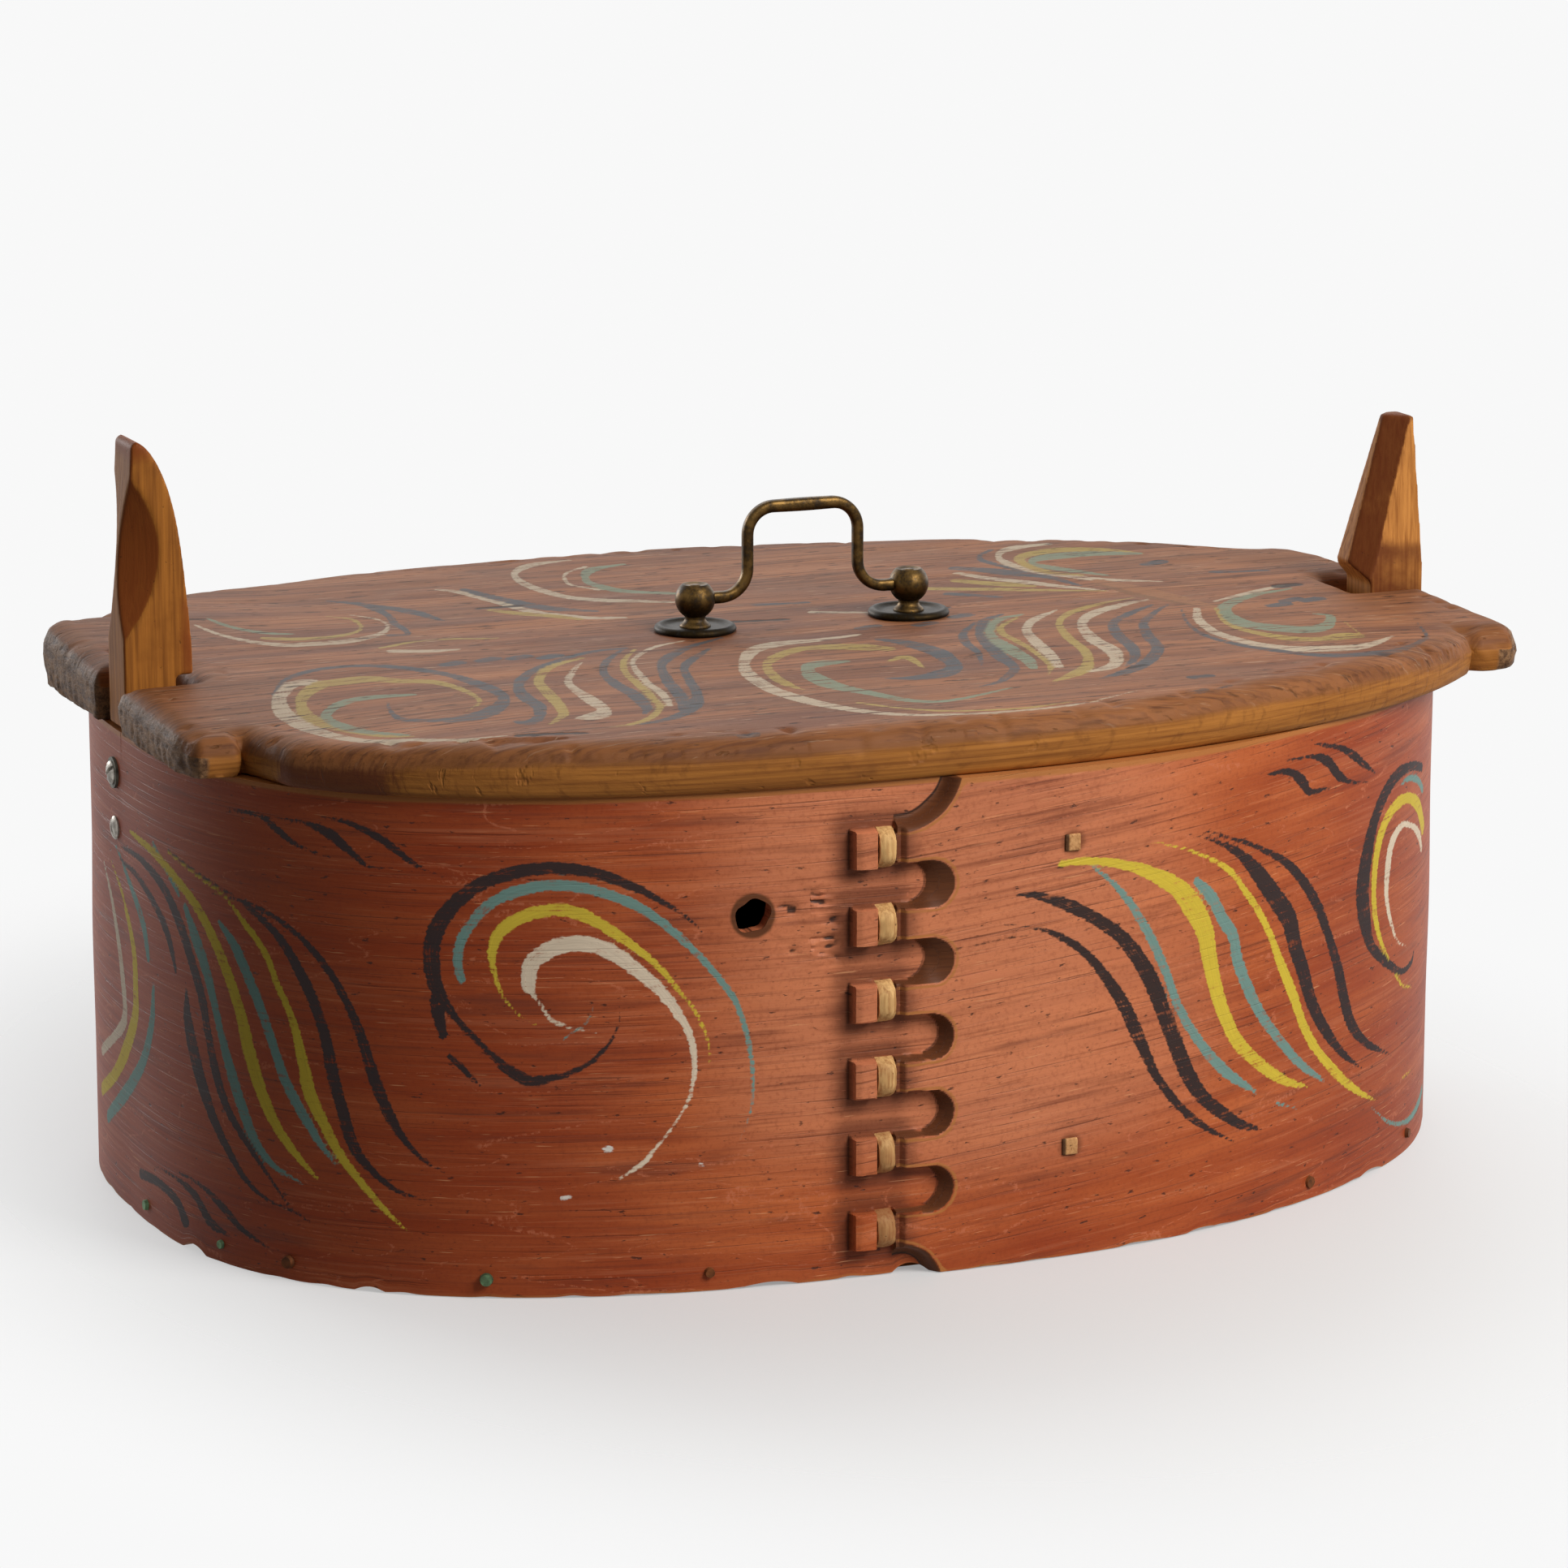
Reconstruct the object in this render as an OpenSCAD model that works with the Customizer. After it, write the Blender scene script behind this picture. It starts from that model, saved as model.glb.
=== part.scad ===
// Bentwood lidded box: an oval band sewn at a fingered lap, a pegged bottom board,
// a lift-off lid between two sprung end posts, and a swinging bail handle on the lid.
// Millimetres. X runs along the box, the sewn lap faces -Y, Z is up, and the origin lies
// on the floor at the middle of the box's length and width.

/* [Box] */
// Length of the band, end to end
box_length = 468; // [440:1:520]
// Width of the band at its widest place
box_width = 326; // [300:1:360]
// Height of the band
wall_height = 161; // [155:1:190]
// Thickness of the bent board
wall_thickness = 5; // [4:0.5:7]
// How far the widest place lies left of the middle
belly_offset = 9; // [0:1:15]
// Fullness of the left end, where 2 is an ellipse
left_fullness = 2.66; // [2:0.02:3]
// Fullness of the right end, where 2 is an ellipse
right_fullness = 2.24; // [2:0.02:3]
// How far the right post has pushed the band's end out
right_end_push = 9; // [0:1:12]
// Radius of the fallen knot's hole
knot_radius = 5.5; // [3:0.5:8]
// Place of the knot hole along the front
knot_x = -77; // [-120:1:-65]
// Height of the knot hole
knot_z = 121; // [60:1:135]

/* [Lap seam] */
// Thickness of the outer, fingered end of the band
lap_thickness = 5; // [4:0.5:7]
// Place of the finger tips along the front
lap_tip_x = -45; // [-60:1:-30]
// Place where the outer end starts to sink back into the oval
lap_full_x = 45; // [35:1:60]
// Place where it has sunk back
lap_tail_x = 150; // [120:1:170]
// Number of fingers
finger_count = 6; // [4:1:6]
// Distance from finger to finger
finger_pitch = 24.9; // [23:0.1:26]
// Height of the lowest finger
lowest_finger_z = 15.5; // [14:0.5:18]
// Height of a finger's neck
finger_height = 9.6; // [8:0.2:11]
// Height of a finger's head
finger_head_height = 12.6; // [12:0.2:14]
// Length of a finger's head
finger_head_length = 8; // [6:0.5:10]
// Depth of the slots between the fingers, from the tips
slot_depth = 34; // [30:1:40]
// Radius of the hollow cut above the top finger
top_cut_radius = 22; // [18:1:26]
// Radius of the hollow cut below the lowest finger
bottom_cut_radius = 16; // [12:1:18]
// Width of a root stitch
stitch_width = 6.5; // [5:0.5:8]
// Thickness of a root stitch
stitch_thickness = 1.6; // [1.2:0.1:2]
// Side of the square lap pegs
lap_peg_side = 5.5; // [4:0.5:7]
// Place of the lap pegs along the front
lap_peg_x = 30; // [15:1:35]
// Heights of the lower and upper lap peg
lap_peg_z = [36.5, 136.7]; // [30:0.1:140]
// How far a lap peg stands proud
lap_peg_proud = 0.8; // [0.4:0.1:1.5]

/* [Bottom board] */
// Thickness of the bottom board
board_thickness = 12; // [10:0.5:16]
// Radius of the pegs and nails in the lower edge
edge_peg_radius = 2.2; // [1.5:0.1:2.8]
// How far they reach into the bottom board
edge_peg_depth = 14; // [10:1:20]
// How far their heads stand proud of the band
edge_peg_proud = 0.3; // [0.1:0.1:0.8]
// Places of the pegs along the front, as shares of half the length
front_peg_share = [-0.9, -0.39, -0.02, 0.26, 0.56, 0.81]; // [-0.9:0.01:0.85]
// Places of the pegs along the back, as shares of half the length
back_peg_share = [-0.88, -0.58, -0.26, 0.06, 0.38, 0.68]; // [-0.9:0.01:0.85]
// Places of the metal nails along the front, as shares of half the length
nail_share = [-1, -0.96, -0.68]; // [-1:0.01:-0.64]

/* [Lid] */
// Thickness of the lid board
lid_thickness = 17.5; // [15:0.5:20]
// How far the lid's oval stands out over the band
lid_overhang = 3; // [2:0.5:6]
// How far the lid's right curve would run out past the band, if no tab cut it off
lid_right_spread = 19; // [16:1:22]
// How far the left tab stands out past the band
left_tab_reach = 3; // [2:0.5:6]
// How far the right tab stands out past the band
right_tab_reach = 7; // [7:0.5:10]
// Width of the end tabs
tab_width = 164; // [140:1:190]
// Width of the sloping band round the lid's upper edge
edge_slope = 5; // [3:0.5:8]
// Height of that slope
edge_drop = 5; // [3:0.5:8]

/* [Posts] */
// Width of both posts
post_width = 19; // [16:0.5:22]
// Place of both posts across the box
post_y = 3.5; // [-5:0.5:8]
// Thickness of a post's leg inside the band
leg_thickness = 12; // [10:0.5:14]
// Height of the left post's tip
left_post_top = 257; // [245:1:270]
// Height of the right post's top
right_post_top = 237.5; // [230:1:250]
// Depth of the left head over the lid, from its outer face
left_head_depth = 23.2; // [22:0.2:25]
// Depth of the right head over the lid, from its outer face
right_head_depth = 26; // [24:0.2:27]
// How far the right head stands out past the band
right_head_out = 6; // [4:0.5:7]
// Thickness of the left fin at its tip
fin_tip = 1.5; // [1:0.1:3]
// How quickly the left fin narrows, where 1 is an ellipse
fin_power = 1.25; // [1:0.05:1.5]
// Depth of the left fin's scooped corners, on its sides
scoop_along = 12; // [8:0.5:14]
// Depth of the scooped corners, on its outer face
scoop_across = 8; // [6:0.5:9]
// Height of the scooped corners
scoop_height = 54; // [40:1:60]
// Height of the right catch's sloping underside
hook_rise = 6.5; // [4:0.5:8]
// Depth of the right head at its top
right_top_depth = 8.5; // [7:0.5:11]
// How far the right head's outer face leans in
right_lean_in = 3; // [1:0.5:4]
// How far each side of the right head leans in
right_side_lean = 3.2; // [2:0.2:4]
// Width of the right head's cut-off inner corner on the front
right_front_cut = 10; // [8:0.5:11]
// Width of its cut-off inner corner on the back
right_back_cut = 4.5; // [3:0.5:5]
// Room left between a sprung-in neck and the end of its notch
catch_room = 2.3; // [1.5:0.1:3]
// How far each catch springs in over the lid, in degrees
catch_angle = 1.2; // [0.8:0.1:1.4]
// Radius of the screws and pegs that hold the posts
post_screw_radius = 2; // [1.5:0.1:2.5]
// Place of those screws and pegs across the box
post_screw_y = 8.5; // [0:0.5:9]
// Heights of the lower and upper screw
post_screw_z = [127.5, 146]; // [115:0.5:148]
// Radius of the upper screw's head
screw_head_radius = 3.9; // [3.2:0.1:4.5]
// Thickness of a screw's head
screw_head_height = 1.6; // [1.2:0.1:2]
// Radius of the washer
washer_radius = 5.2; // [4.8:0.1:6]
// Thickness of the washer
washer_thickness = 1; // [0.8:0.1:1.5]

/* [Handle] */
// Place of the handle along the lid
handle_x = 9; // [0:1:20]
// Place of the handle across the lid
handle_y = 7; // [0:1:12]
// Distance between the pillars
pillar_spacing = 78.6; // [74:0.2:84]
// Radius of a pillar's ball head
ball_radius = 6.8; // [6:0.1:7.6]
// Height of the ball's middle over the lid
ball_height = 10.6; // [10:0.2:13]
// How much is turned off the top of the ball
ball_flat = 1.6; // [1:0.1:2]
// Radius of a pillar's neck
neck_radius = 3.6; // [3:0.1:4.2]
// Radius of a pillar's foot
foot_radius = 5.2; // [4.6:0.1:6]
// Radius of a rose
rose_radius = 14; // [12:0.5:16]
// Radius at which a rose's rim starts
rose_rim_radius = 11.2; // [10:0.2:11.6]
// Thickness of a rose at its rim
rose_thickness = 2.2; // [1.8:0.1:2.8]
// Thickness of a rose in its dish
rose_dish = 1.1; // [0.8:0.1:1.5]
// Radius of the shank through the lid
shank_radius = 2.4; // [2:0.1:2.8]
// Radius across the corners of a nut
nut_radius = 5.4; // [4.8:0.1:6]
// Thickness of a nut
nut_thickness = 3.4; // [2.8:0.1:4]
// Radius of the bail's rod
bail_radius = 2.3; // [2:0.1:2.6]
// Radius of the bail's end pins
pin_radius = 1.7; // [1.4:0.1:1.9]
// How far the pins reach into the ball heads
pin_length = 5.4; // [4:0.2:6]
// Distance between the bail's legs
bail_leg_spacing = 40.4; // [38:0.2:46]
// Height of the bail's grip over its pins
bail_rise = 30; // [27:0.5:34]
// Radius of the bail's four bends
bail_bend = 9.4; // [8:0.2:10]

/* [Clearances] */
// Between the bottom board and the band
board_clearance = 0.3; // [0.2:0.05:0.4]
// Round wooden pegs, nails, screws and stitches in their holes
peg_clearance = 0.05; // [0.03:0.01:0.1]
// Between the lid and the rim
lid_gap = 0.3; // [0.2:0.05:0.5]
// Between a post's leg and what it stands by
post_gap = 0.5; // [0.4:0.05:0.7]
// Between a post's foot and the bottom board
foot_gap = 0.3; // [0.2:0.05:0.4]
// Between a post's shoulder and the rim
shoulder_gap = 1.4; // [1:0.1:2]
// Between a post's head and the lid
head_gap = 0.8; // [0.7:0.1:1.2]
// Between the notch and the catch that passes through it
notch_end_gap = 0.5; // [0.4:0.05:0.8]
// Between the notch and the front of the post
notch_front_gap = 0.8; // [0.5:0.1:2]
// Between the notch and the back of the post
notch_back_gap = 6; // [2:0.5:8]
// Round the screws, in the post that springs over them
spring_clearance = 0.7; // [0.6:0.05:0.9]
// Round the bail's pins, in the ball heads
pin_clearance = 0.06; // [0.04:0.01:0.1]
// Round the handle's shanks, in the lid, the roses and the nuts
shank_clearance = 0.1; // [0.05:0.01:0.2]

/* [Hidden] */
$fn = 48;
// Steps round the oval
oval_steps = 144;
// Half the step that the oval's slope is taken over, in degrees
slope_step = 0.1;
// How soon the push of the right post fades out along the band
push_power = 24;
// How far a cutting solid runs past what it cuts
cut_past = 1;
// How far the lap's root reaches into the band, so that they grow together
lap_root = 1;
belly_x = -belly_offset;
half_width = box_width / 2;
left_reach = box_length / 2 - belly_offset;
right_reach = box_length / 2 + belly_offset;
band_left = -box_length / 2;
band_right = box_length / 2;
lid_under = wall_height + lid_gap;
lid_top = lid_under + lid_thickness;
tab_left = band_left - left_tab_reach;
tab_right = band_right + right_tab_reach;
// How far the band's inner face has curved back at a post's edge
post_edge = (abs(post_y) + post_width / 2) / (half_width - wall_thickness);
function edge_angle(full) = asin(pow(post_edge, full / 2));
left_recess = left_reach + oval_point(180 - edge_angle(left_fullness)).x;
right_recess = right_reach - oval_point(edge_angle(right_fullness)).x;
left_leg_in = wall_thickness + post_gap + left_recess;
right_leg_in = wall_thickness + post_gap + right_recess;
left_leg_outer = band_left + left_leg_in;
right_leg_outer = band_right - right_leg_in;
left_nose_x = band_left + left_head_depth;
right_outer = band_right + right_head_out;
right_nose_x = right_outer - right_head_depth;
head_under = lid_top + head_gap;
right_catch_z = head_under + hook_rise;
// How deep the screws and pegs go into a post's leg, and how deep their holes are
screw_bite = leg_thickness / 2;
post_hole_depth = screw_bite + catch_room;
foot_z = board_thickness + foot_gap;
shoulder_z = wall_height + shoulder_gap;
post_front = post_y - post_width / 2;
finger_neck_x = lap_tip_x + finger_head_length;
strap_x = finger_neck_x + stitch_width / 2;
finger_corner_x = finger_neck_x + stitch_width;
slot_radius = (finger_pitch - finger_height) / 2;
slot_end_x = lap_tip_x + slot_depth - slot_radius;
top_finger_z = lowest_finger_z + (finger_count - 1) * finger_pitch;
ball_z = lid_top + ball_height;
pillar_x = [handle_x - pillar_spacing / 2, handle_x + pillar_spacing / 2];
// How far a catch moves in over the lid, and how far its neck stands back for that
catch_reach = (lid_top - foot_z) * sin(catch_angle);
neck_setback = catch_reach + catch_room;
// Height at which a post's leg turns into its neck
neck_z = lid_under - leg_thickness;
// Thickness of the thin slice that a lid's upper face is drawn with
skin = 0.2;

function signed_power(base, power) = sign(base) * pow(abs(base), power);
function fullness(angle) = cos(angle) < 0 ? left_fullness : right_fullness;
function reach(angle) = cos(angle) < 0 ? left_reach : right_reach - right_end_push;
function end_push(angle) = cos(angle) < 0 ? 0 : right_end_push * pow(cos(angle), push_power);

// A point of the band's outer oval, before it is moved to the belly
function oval_point(angle) = [
    reach(angle) * signed_power(cos(angle), 2 / fullness(angle)) + end_push(angle),
    half_width * signed_power(sin(angle), 2 / fullness(angle))
];
function unit(v) = v / norm(v);

// The way that the oval faces there
function oval_way(angle) =
    let (along = oval_point(angle + slope_step) - oval_point(angle - slope_step))
    unit([along.y, -along.x]);

// The oval moved outwards by a distance, at one angle
function offset_point(angle, out) = oval_point(angle) + out * oval_way(angle) + [belly_x, 0];

// The angle at which the front of the oval has a given X
function front_angle(x) =
    let (dx = x - belly_x, half = dx < 0 ? left_reach : right_reach - right_end_push)
    let (full = dx < 0 ? left_fullness : right_fullness)
    -acos(signed_power(min(dx / half, 1), full / 2));
function wall_y(x) = offset_point(front_angle(x), 0).y;

// Outline of the oval, moved outwards by a distance
module oval(out) {
    polygon([for (i = [0:oval_steps - 1]) offset_point(i * 360 / oval_steps, out)]);
}

// A round bar along Y, at a place on the front
module front_bar(x, z, r, from_y, to_y) {
    translate([x, from_y, z])
        rotate([-90, 0, 0])
            cylinder(h = to_y - from_y, r = r);
}

// How far the lap stands out at a place along the front
function lap_sink(x) = max(0, x - lap_full_x) / (lap_tail_x - lap_full_x);
function lap_share(x) = (1 + cos(180 * lap_sink(x))) / 2;
function lap_point(x, out) = offset_point(front_angle(x), out);

// The outer end of the band in plan: full at the fingers, sinking into the oval at its tail
module lap_plan() {
    steps = 40;
    places = [for (i = [0:steps]) lap_tip_x + (lap_tail_x - lap_tip_x) * i / steps];
    outer = [for (x = places) lap_point(x, lap_thickness * lap_share(x))];
    inner = [for (i = [steps:-1:0]) lap_point(places[i], -lap_root)];
    polygon(concat(outer, inner));
}

// A cut through the lap, from in front of it to inside the band
module lap_cut(from_x, to_x, from_z, to_z) {
    translate([from_x, -half_width - lap_thickness - cut_past, from_z])
        cube([to_x - from_x, lap_thickness + wall_thickness, to_z - from_z]);
}

module lap_hollow(x, z, r) {
    front_bar(x, z, r, -half_width - lap_thickness - cut_past, -half_width + wall_thickness - cut_past);
}

// What is cut away from above one finger to below the next, with straight heads and necks
module head_cut(from_z, to_z) {
    lap_cut(lap_tip_x - cut_past, finger_neck_x, from_z, to_z);
}

// The slots between the fingers, and the hollows above and below them
module finger_cuts() {
    head_half = finger_head_height / 2;
    neck_half = finger_height / 2;
    for (i = [0:finger_count - 2]) {
        low = lowest_finger_z + i * finger_pitch;
        high = low + finger_pitch;
        lap_hollow(slot_end_x, (low + high) / 2, slot_radius);
        lap_cut(finger_neck_x, slot_end_x, low + neck_half, high - neck_half);
        head_cut(low + head_half, high - head_half);
    }
    top_z = top_finger_z + neck_half;
    lap_hollow(finger_corner_x, top_z + top_cut_radius, top_cut_radius);
    lap_cut(finger_neck_x, finger_corner_x, top_z, wall_height + cut_past);
    head_cut(top_finger_z + head_half, wall_height + cut_past);
    low_z = lowest_finger_z - neck_half;
    lap_hollow(finger_corner_x, low_z - bottom_cut_radius, bottom_cut_radius);
    lap_cut(finger_neck_x, finger_corner_x, -cut_past, low_z);
    head_cut(-cut_past, lowest_finger_z - head_half);
}

// A rectangular loop round one finger, grown by a clearance
module stitch_loop(i, grow) {
    z = lowest_finger_z + (i - 1) * finger_pitch;
    front = wall_y(strap_x) - lap_thickness - peg_clearance;
    back = wall_y(strap_x) + wall_thickness + peg_clearance;
    half = finger_height / 2 + peg_clearance;
    width = stitch_width + 2 * grow;
    difference() {
        translate([strap_x - width / 2, front - stitch_thickness, z - half - stitch_thickness - grow])
            cube([width, back - front + 2 * stitch_thickness, 2 * (half + stitch_thickness + grow)]);
        translate([strap_x - width / 2 - cut_past, front, z - half + grow])
            cube([width + 2 * cut_past, back - front, 2 * (half - grow)]);
    }
}

// A round bar through the band's lower edge, square to the band
module edge_bar(angle, r, from_out, to_in) {
    at = offset_point(angle, from_out);
    way = oval_way(angle);
    translate([at.x, at.y, board_thickness / 2])
        rotate([0, 90, atan2(-way.y, -way.x)])
            cylinder(h = from_out + to_in, r = r);
}

function share_angle(share) = front_angle(max(share * box_length / 2, band_left));
front_peg_angles = [for (share = front_peg_share) share_angle(share)];
back_peg_angles = [for (share = back_peg_share) -share_angle(share)];
peg_angles = concat(front_peg_angles, back_peg_angles);
nail_angles = [for (share = nail_share) share_angle(share)];

module edge_holes() {
    depth = wall_thickness + edge_peg_depth + peg_clearance;
    for (angle = concat(peg_angles, nail_angles))
        edge_bar(angle, edge_peg_radius + peg_clearance, cut_past, depth);
}

module edge_pegs(angles) {
    for (angle = angles)
        edge_bar(angle, edge_peg_radius, edge_peg_proud, wall_thickness + edge_peg_depth);
}

// A square bar through the lap and the band
module lap_peg_bar(z, grow, proud) {
    side = lap_peg_side + 2 * grow;
    front = wall_y(lap_peg_x) - lap_thickness - proud;
    translate([lap_peg_x - side / 2, front, z - side / 2])
        cube([side, proud + lap_thickness + wall_thickness + grow, side]);
}

// A round bar along X, for what holds the posts
module end_bar(x, z, r, length) {
    translate([x, post_screw_y, z])
        rotate([0, 90, 0])
            cylinder(h = length, r = r);
}

// The post holes in the band's two ends
module band_screw_holes() {
    for (z = post_screw_z) {
        r = post_screw_radius + peg_clearance;
        end_bar(band_left - cut_past, z, r, wall_thickness + 2 * cut_past);
        end_bar(band_right - wall_thickness - cut_past, z, r, wall_thickness + 2 * cut_past);
    }
}

module band() {
    color("sienna") difference() {
        union() {
            linear_extrude(wall_height) difference() {
                oval(0);
                oval(-wall_thickness);
            }
            difference() {
                linear_extrude(wall_height) lap_plan();
                finger_cuts();
            }
        }
        for (i = [1:finger_count]) stitch_loop(i, peg_clearance);
        for (z = lap_peg_z) lap_peg_bar(z, peg_clearance, lap_peg_proud + cut_past);
        front_bar(knot_x, knot_z, knot_radius, -half_width - cut_past, -half_width / 2);
        edge_holes();
        band_screw_holes();
    }
}

// The notch in the bottom board's edge that leaves room for the lowest stitch
module stitch_notch() {
    low_z = lowest_finger_z - finger_height / 2 - peg_clearance - stitch_thickness;
    width = stitch_width + 2 * board_clearance;
    inner_y = wall_y(strap_x) + wall_thickness;
    translate([strap_x - width / 2, inner_y - cut_past, low_z - board_clearance])
        cube([width, cut_past + peg_clearance + stitch_thickness + board_clearance, board_thickness]);
}

module bottom_board() {
    color("peru") difference() {
        linear_extrude(board_thickness) oval(-wall_thickness - board_clearance);
        edge_holes();
        stitch_notch();
    }
}

module bottom_pegs() {
    color("saddlebrown") edge_pegs(peg_angles);
}

module bottom_nails() {
    color("darkolivegreen") edge_pegs(nail_angles);
}

module lap_pegs() {
    color("tan") for (z = lap_peg_z) lap_peg_bar(z, 0, lap_peg_proud);
}

module root_stitch(i) {
    color("burlywood") stitch_loop(i, 0);
}

// A side view drawn in X and Z, given the posts' width
module post_prism(points) {
    translate([0, post_y + post_width / 2, 0])
        rotate([90, 0, 0])
            linear_extrude(post_width) polygon(points);
}

// The screw holes of a post: blind, from its outer face, with room for its spring
module post_holes(from_x) {
    r = post_screw_radius + spring_clearance;
    for (z = post_screw_z) end_bar(from_x, z, r, post_hole_depth + cut_past);
}

// A point on the curve from the catch up to the tip of the left post's fin
function fin_point(share) =
    let (tip_x = band_left + fin_tip, rise = left_post_top - head_under)
    [tip_x + (left_nose_x - tip_x) * pow(cos(90 * share), fin_power), head_under + rise * sin(90 * share)];

// A round hollow scooped from an outer corner of the fin
module fin_scoop(side) {
    depth = scoop_along * scoop_across / norm([scoop_along, scoop_across]);
    radius = (pow(scoop_height / 2, 2) + depth * depth) / (2 * depth);
    translate([band_left, post_y + side * post_width / 2, (head_under + left_post_top) / 2])
        rotate([0, 0, -side * atan2(scoop_along, scoop_across)])
            translate([depth - radius, 0, 0])
                rotate([90, 0, 0])
                    cylinder(h = 4 * post_width, r = radius, center = true, $fn = 96);
}

module left_post() {
    inner = left_leg_outer + leg_thickness;
    neck = left_nose_x - neck_setback;
    fin_steps = 14;
    outline = concat(
        [[left_leg_outer, foot_z], [inner, foot_z], [inner, neck_z], [neck, lid_under], [neck, head_under]],
        [for (i = [0:fin_steps]) fin_point(i / fin_steps)],
        [[band_left, left_post_top - fin_tip], [band_left, shoulder_z], [left_leg_outer, shoulder_z]]);
    color("goldenrod") difference() {
        post_prism(outline);
        for (side = [-1, 1]) fin_scoop(side);
        post_holes(left_leg_outer - cut_past);
    }
}

// What is cut off one side of the right head, which narrows upwards
module right_side_cut(side) {
    lean = atan(right_side_lean / (right_post_top - right_catch_z));
    translate([right_outer - 2 * right_head_depth, post_y + side * post_width / 2, right_catch_z])
        rotate([side * lean, 0, 0])
            translate([0, side > 0 ? 0 : -post_width, 0])
                cube([3 * right_head_depth, post_width, 2 * right_post_top]);
}

// What is cut off one inner corner of the right head, down through the catch
module right_corner(side, cut) {
    rise = right_post_top - right_catch_z;
    lean = atan(right_side_lean / rise);
    slant = atan((right_head_depth - right_top_depth - right_lean_in) / rise);
    translate([right_nose_x, post_y + side * post_width / 2, right_catch_z])
        rotate([side * lean, slant, 0])
            rotate([0, 0, 45])
                translate([-cut / 2, -cut / 2, -2 * hook_rise])
                    cube([cut, cut, 2 * rise]);
}

module right_post() {
    inner = right_leg_outer - leg_thickness;
    neck = right_nose_x + neck_setback;
    top = right_outer - right_lean_in;
    outline = [
        [inner, foot_z], [right_leg_outer, foot_z], [right_leg_outer, shoulder_z], [right_outer, shoulder_z],
        [right_outer, right_catch_z], [top, right_post_top], [top - right_top_depth, right_post_top],
        [right_nose_x, right_catch_z], [neck, head_under], [neck, lid_under], [inner, neck_z]
    ];
    color("goldenrod") difference() {
        post_prism(outline);
        for (side = [-1, 1]) right_side_cut(side);
        right_corner(-1, right_front_cut);
        right_corner(1, right_back_cut);
        post_holes(right_leg_outer - post_hole_depth);
    }
}

// A slotted screw from outside the left end, its head on the band or on the washer
module slotted_screw(z, head_r, seat) {
    under_head = band_left - seat;
    slot_cut = screw_head_height / 2;
    color("silver") difference() {
        union() {
            end_bar(under_head - screw_head_height, z, head_r, screw_head_height);
            end_bar(under_head - slot_cut, z, post_screw_radius, slot_cut + seat + left_leg_in + screw_bite);
        }
        translate([under_head - screw_head_height - cut_past, post_screw_y - head_r, z - slot_cut / 2])
            cube([cut_past + slot_cut, 2 * head_r, slot_cut]);
    }
}

module left_screw_upper() {
    slotted_screw(post_screw_z[1], screw_head_radius, washer_thickness);
}

module left_screw_lower() {
    slotted_screw(post_screw_z[0], screw_head_radius, 0);
}

module left_screw_washer() {
    z = post_screw_z[1];
    hole = post_screw_radius + peg_clearance;
    color("dimgray") difference() {
        end_bar(band_left - washer_thickness, z, washer_radius, washer_thickness);
        end_bar(band_left - washer_thickness - cut_past, z, hole, washer_thickness + 2 * cut_past);
    }
}

module right_post_pegs() {
    reach_in = right_leg_in + screw_bite;
    color("saddlebrown")
        for (z = post_screw_z)
            end_bar(band_right - reach_in, z, post_screw_radius, reach_in + edge_peg_proud);
}

// The lid's oval follows the band on the left, and is a wider ellipse on the right
function lid_point(angle, inset) =
    let (across = half_width + lid_overhang - inset)
    let (along = right_reach + lid_right_spread - inset)
    cos(angle) < 0
        ? offset_point(angle, lid_overhang - inset)
        : [belly_x + along * cos(angle), across * sin(angle)];

// A slab of the lid's oval, drawn in by a distance
module lid_oval_slab(inset, bottom, height) {
    translate([0, 0, bottom])
        linear_extrude(height)
            polygon([for (i = [0:oval_steps - 1]) lid_point(i * 360 / oval_steps, inset)]);
}

// A slab of some width from tab to tab, drawn in by a distance
module lid_end_slab(width, inset, bottom, height) {
    translate([tab_left + inset, -width / 2 + inset, bottom])
        cube([tab_right - tab_left - 2 * inset, width - 2 * inset, height]);
}

// A board from tab to tab, with a sloping upper edge
module lid_end_board(width) {
    hull() {
        lid_end_slab(width, 0, lid_under, lid_thickness - edge_drop);
        lid_end_slab(width, edge_slope, lid_top - skin, skin);
    }
}

module lid_board() {
    notch_low = post_front - notch_front_gap;
    notch_width = post_width + notch_front_gap + notch_back_gap;
    left_notch = left_nose_x + notch_end_gap;
    right_notch = right_nose_x - notch_end_gap;
    color("rosybrown") difference() {
        union() {
            intersection() {
                hull() {
                    lid_oval_slab(0, lid_under, lid_thickness - edge_drop);
                    lid_oval_slab(edge_slope, lid_top - skin, skin);
                }
                lid_end_board(2 * box_width);
            }
            lid_end_board(tab_width);
        }
        translate([tab_left - cut_past, notch_low, lid_under - cut_past])
            cube([left_notch - tab_left + cut_past, notch_width, lid_thickness + 2 * cut_past]);
        translate([right_notch, notch_low, lid_under - cut_past])
            cube([tab_right - right_notch + cut_past, notch_width, lid_thickness + 2 * cut_past]);
        for (x = pillar_x)
            translate([x, handle_y, lid_under - cut_past])
                cylinder(h = lid_thickness + 2 * cut_past, r = shank_radius + shank_clearance);
    }
}

// A dished disc with a raised rim
module rose(x) {
    bore = shank_radius + shank_clearance;
    color("darkgoldenrod") translate([x, handle_y, lid_top]) rotate_extrude($fn = 64)
        polygon([[bore, 0], [rose_radius, 0], [rose_radius, rose_dish],
            [(rose_rim_radius + rose_radius) / 2, rose_thickness], [rose_rim_radius, rose_thickness],
            [foot_radius + rose_dish, rose_dish], [bore, rose_dish]]);
}

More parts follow.
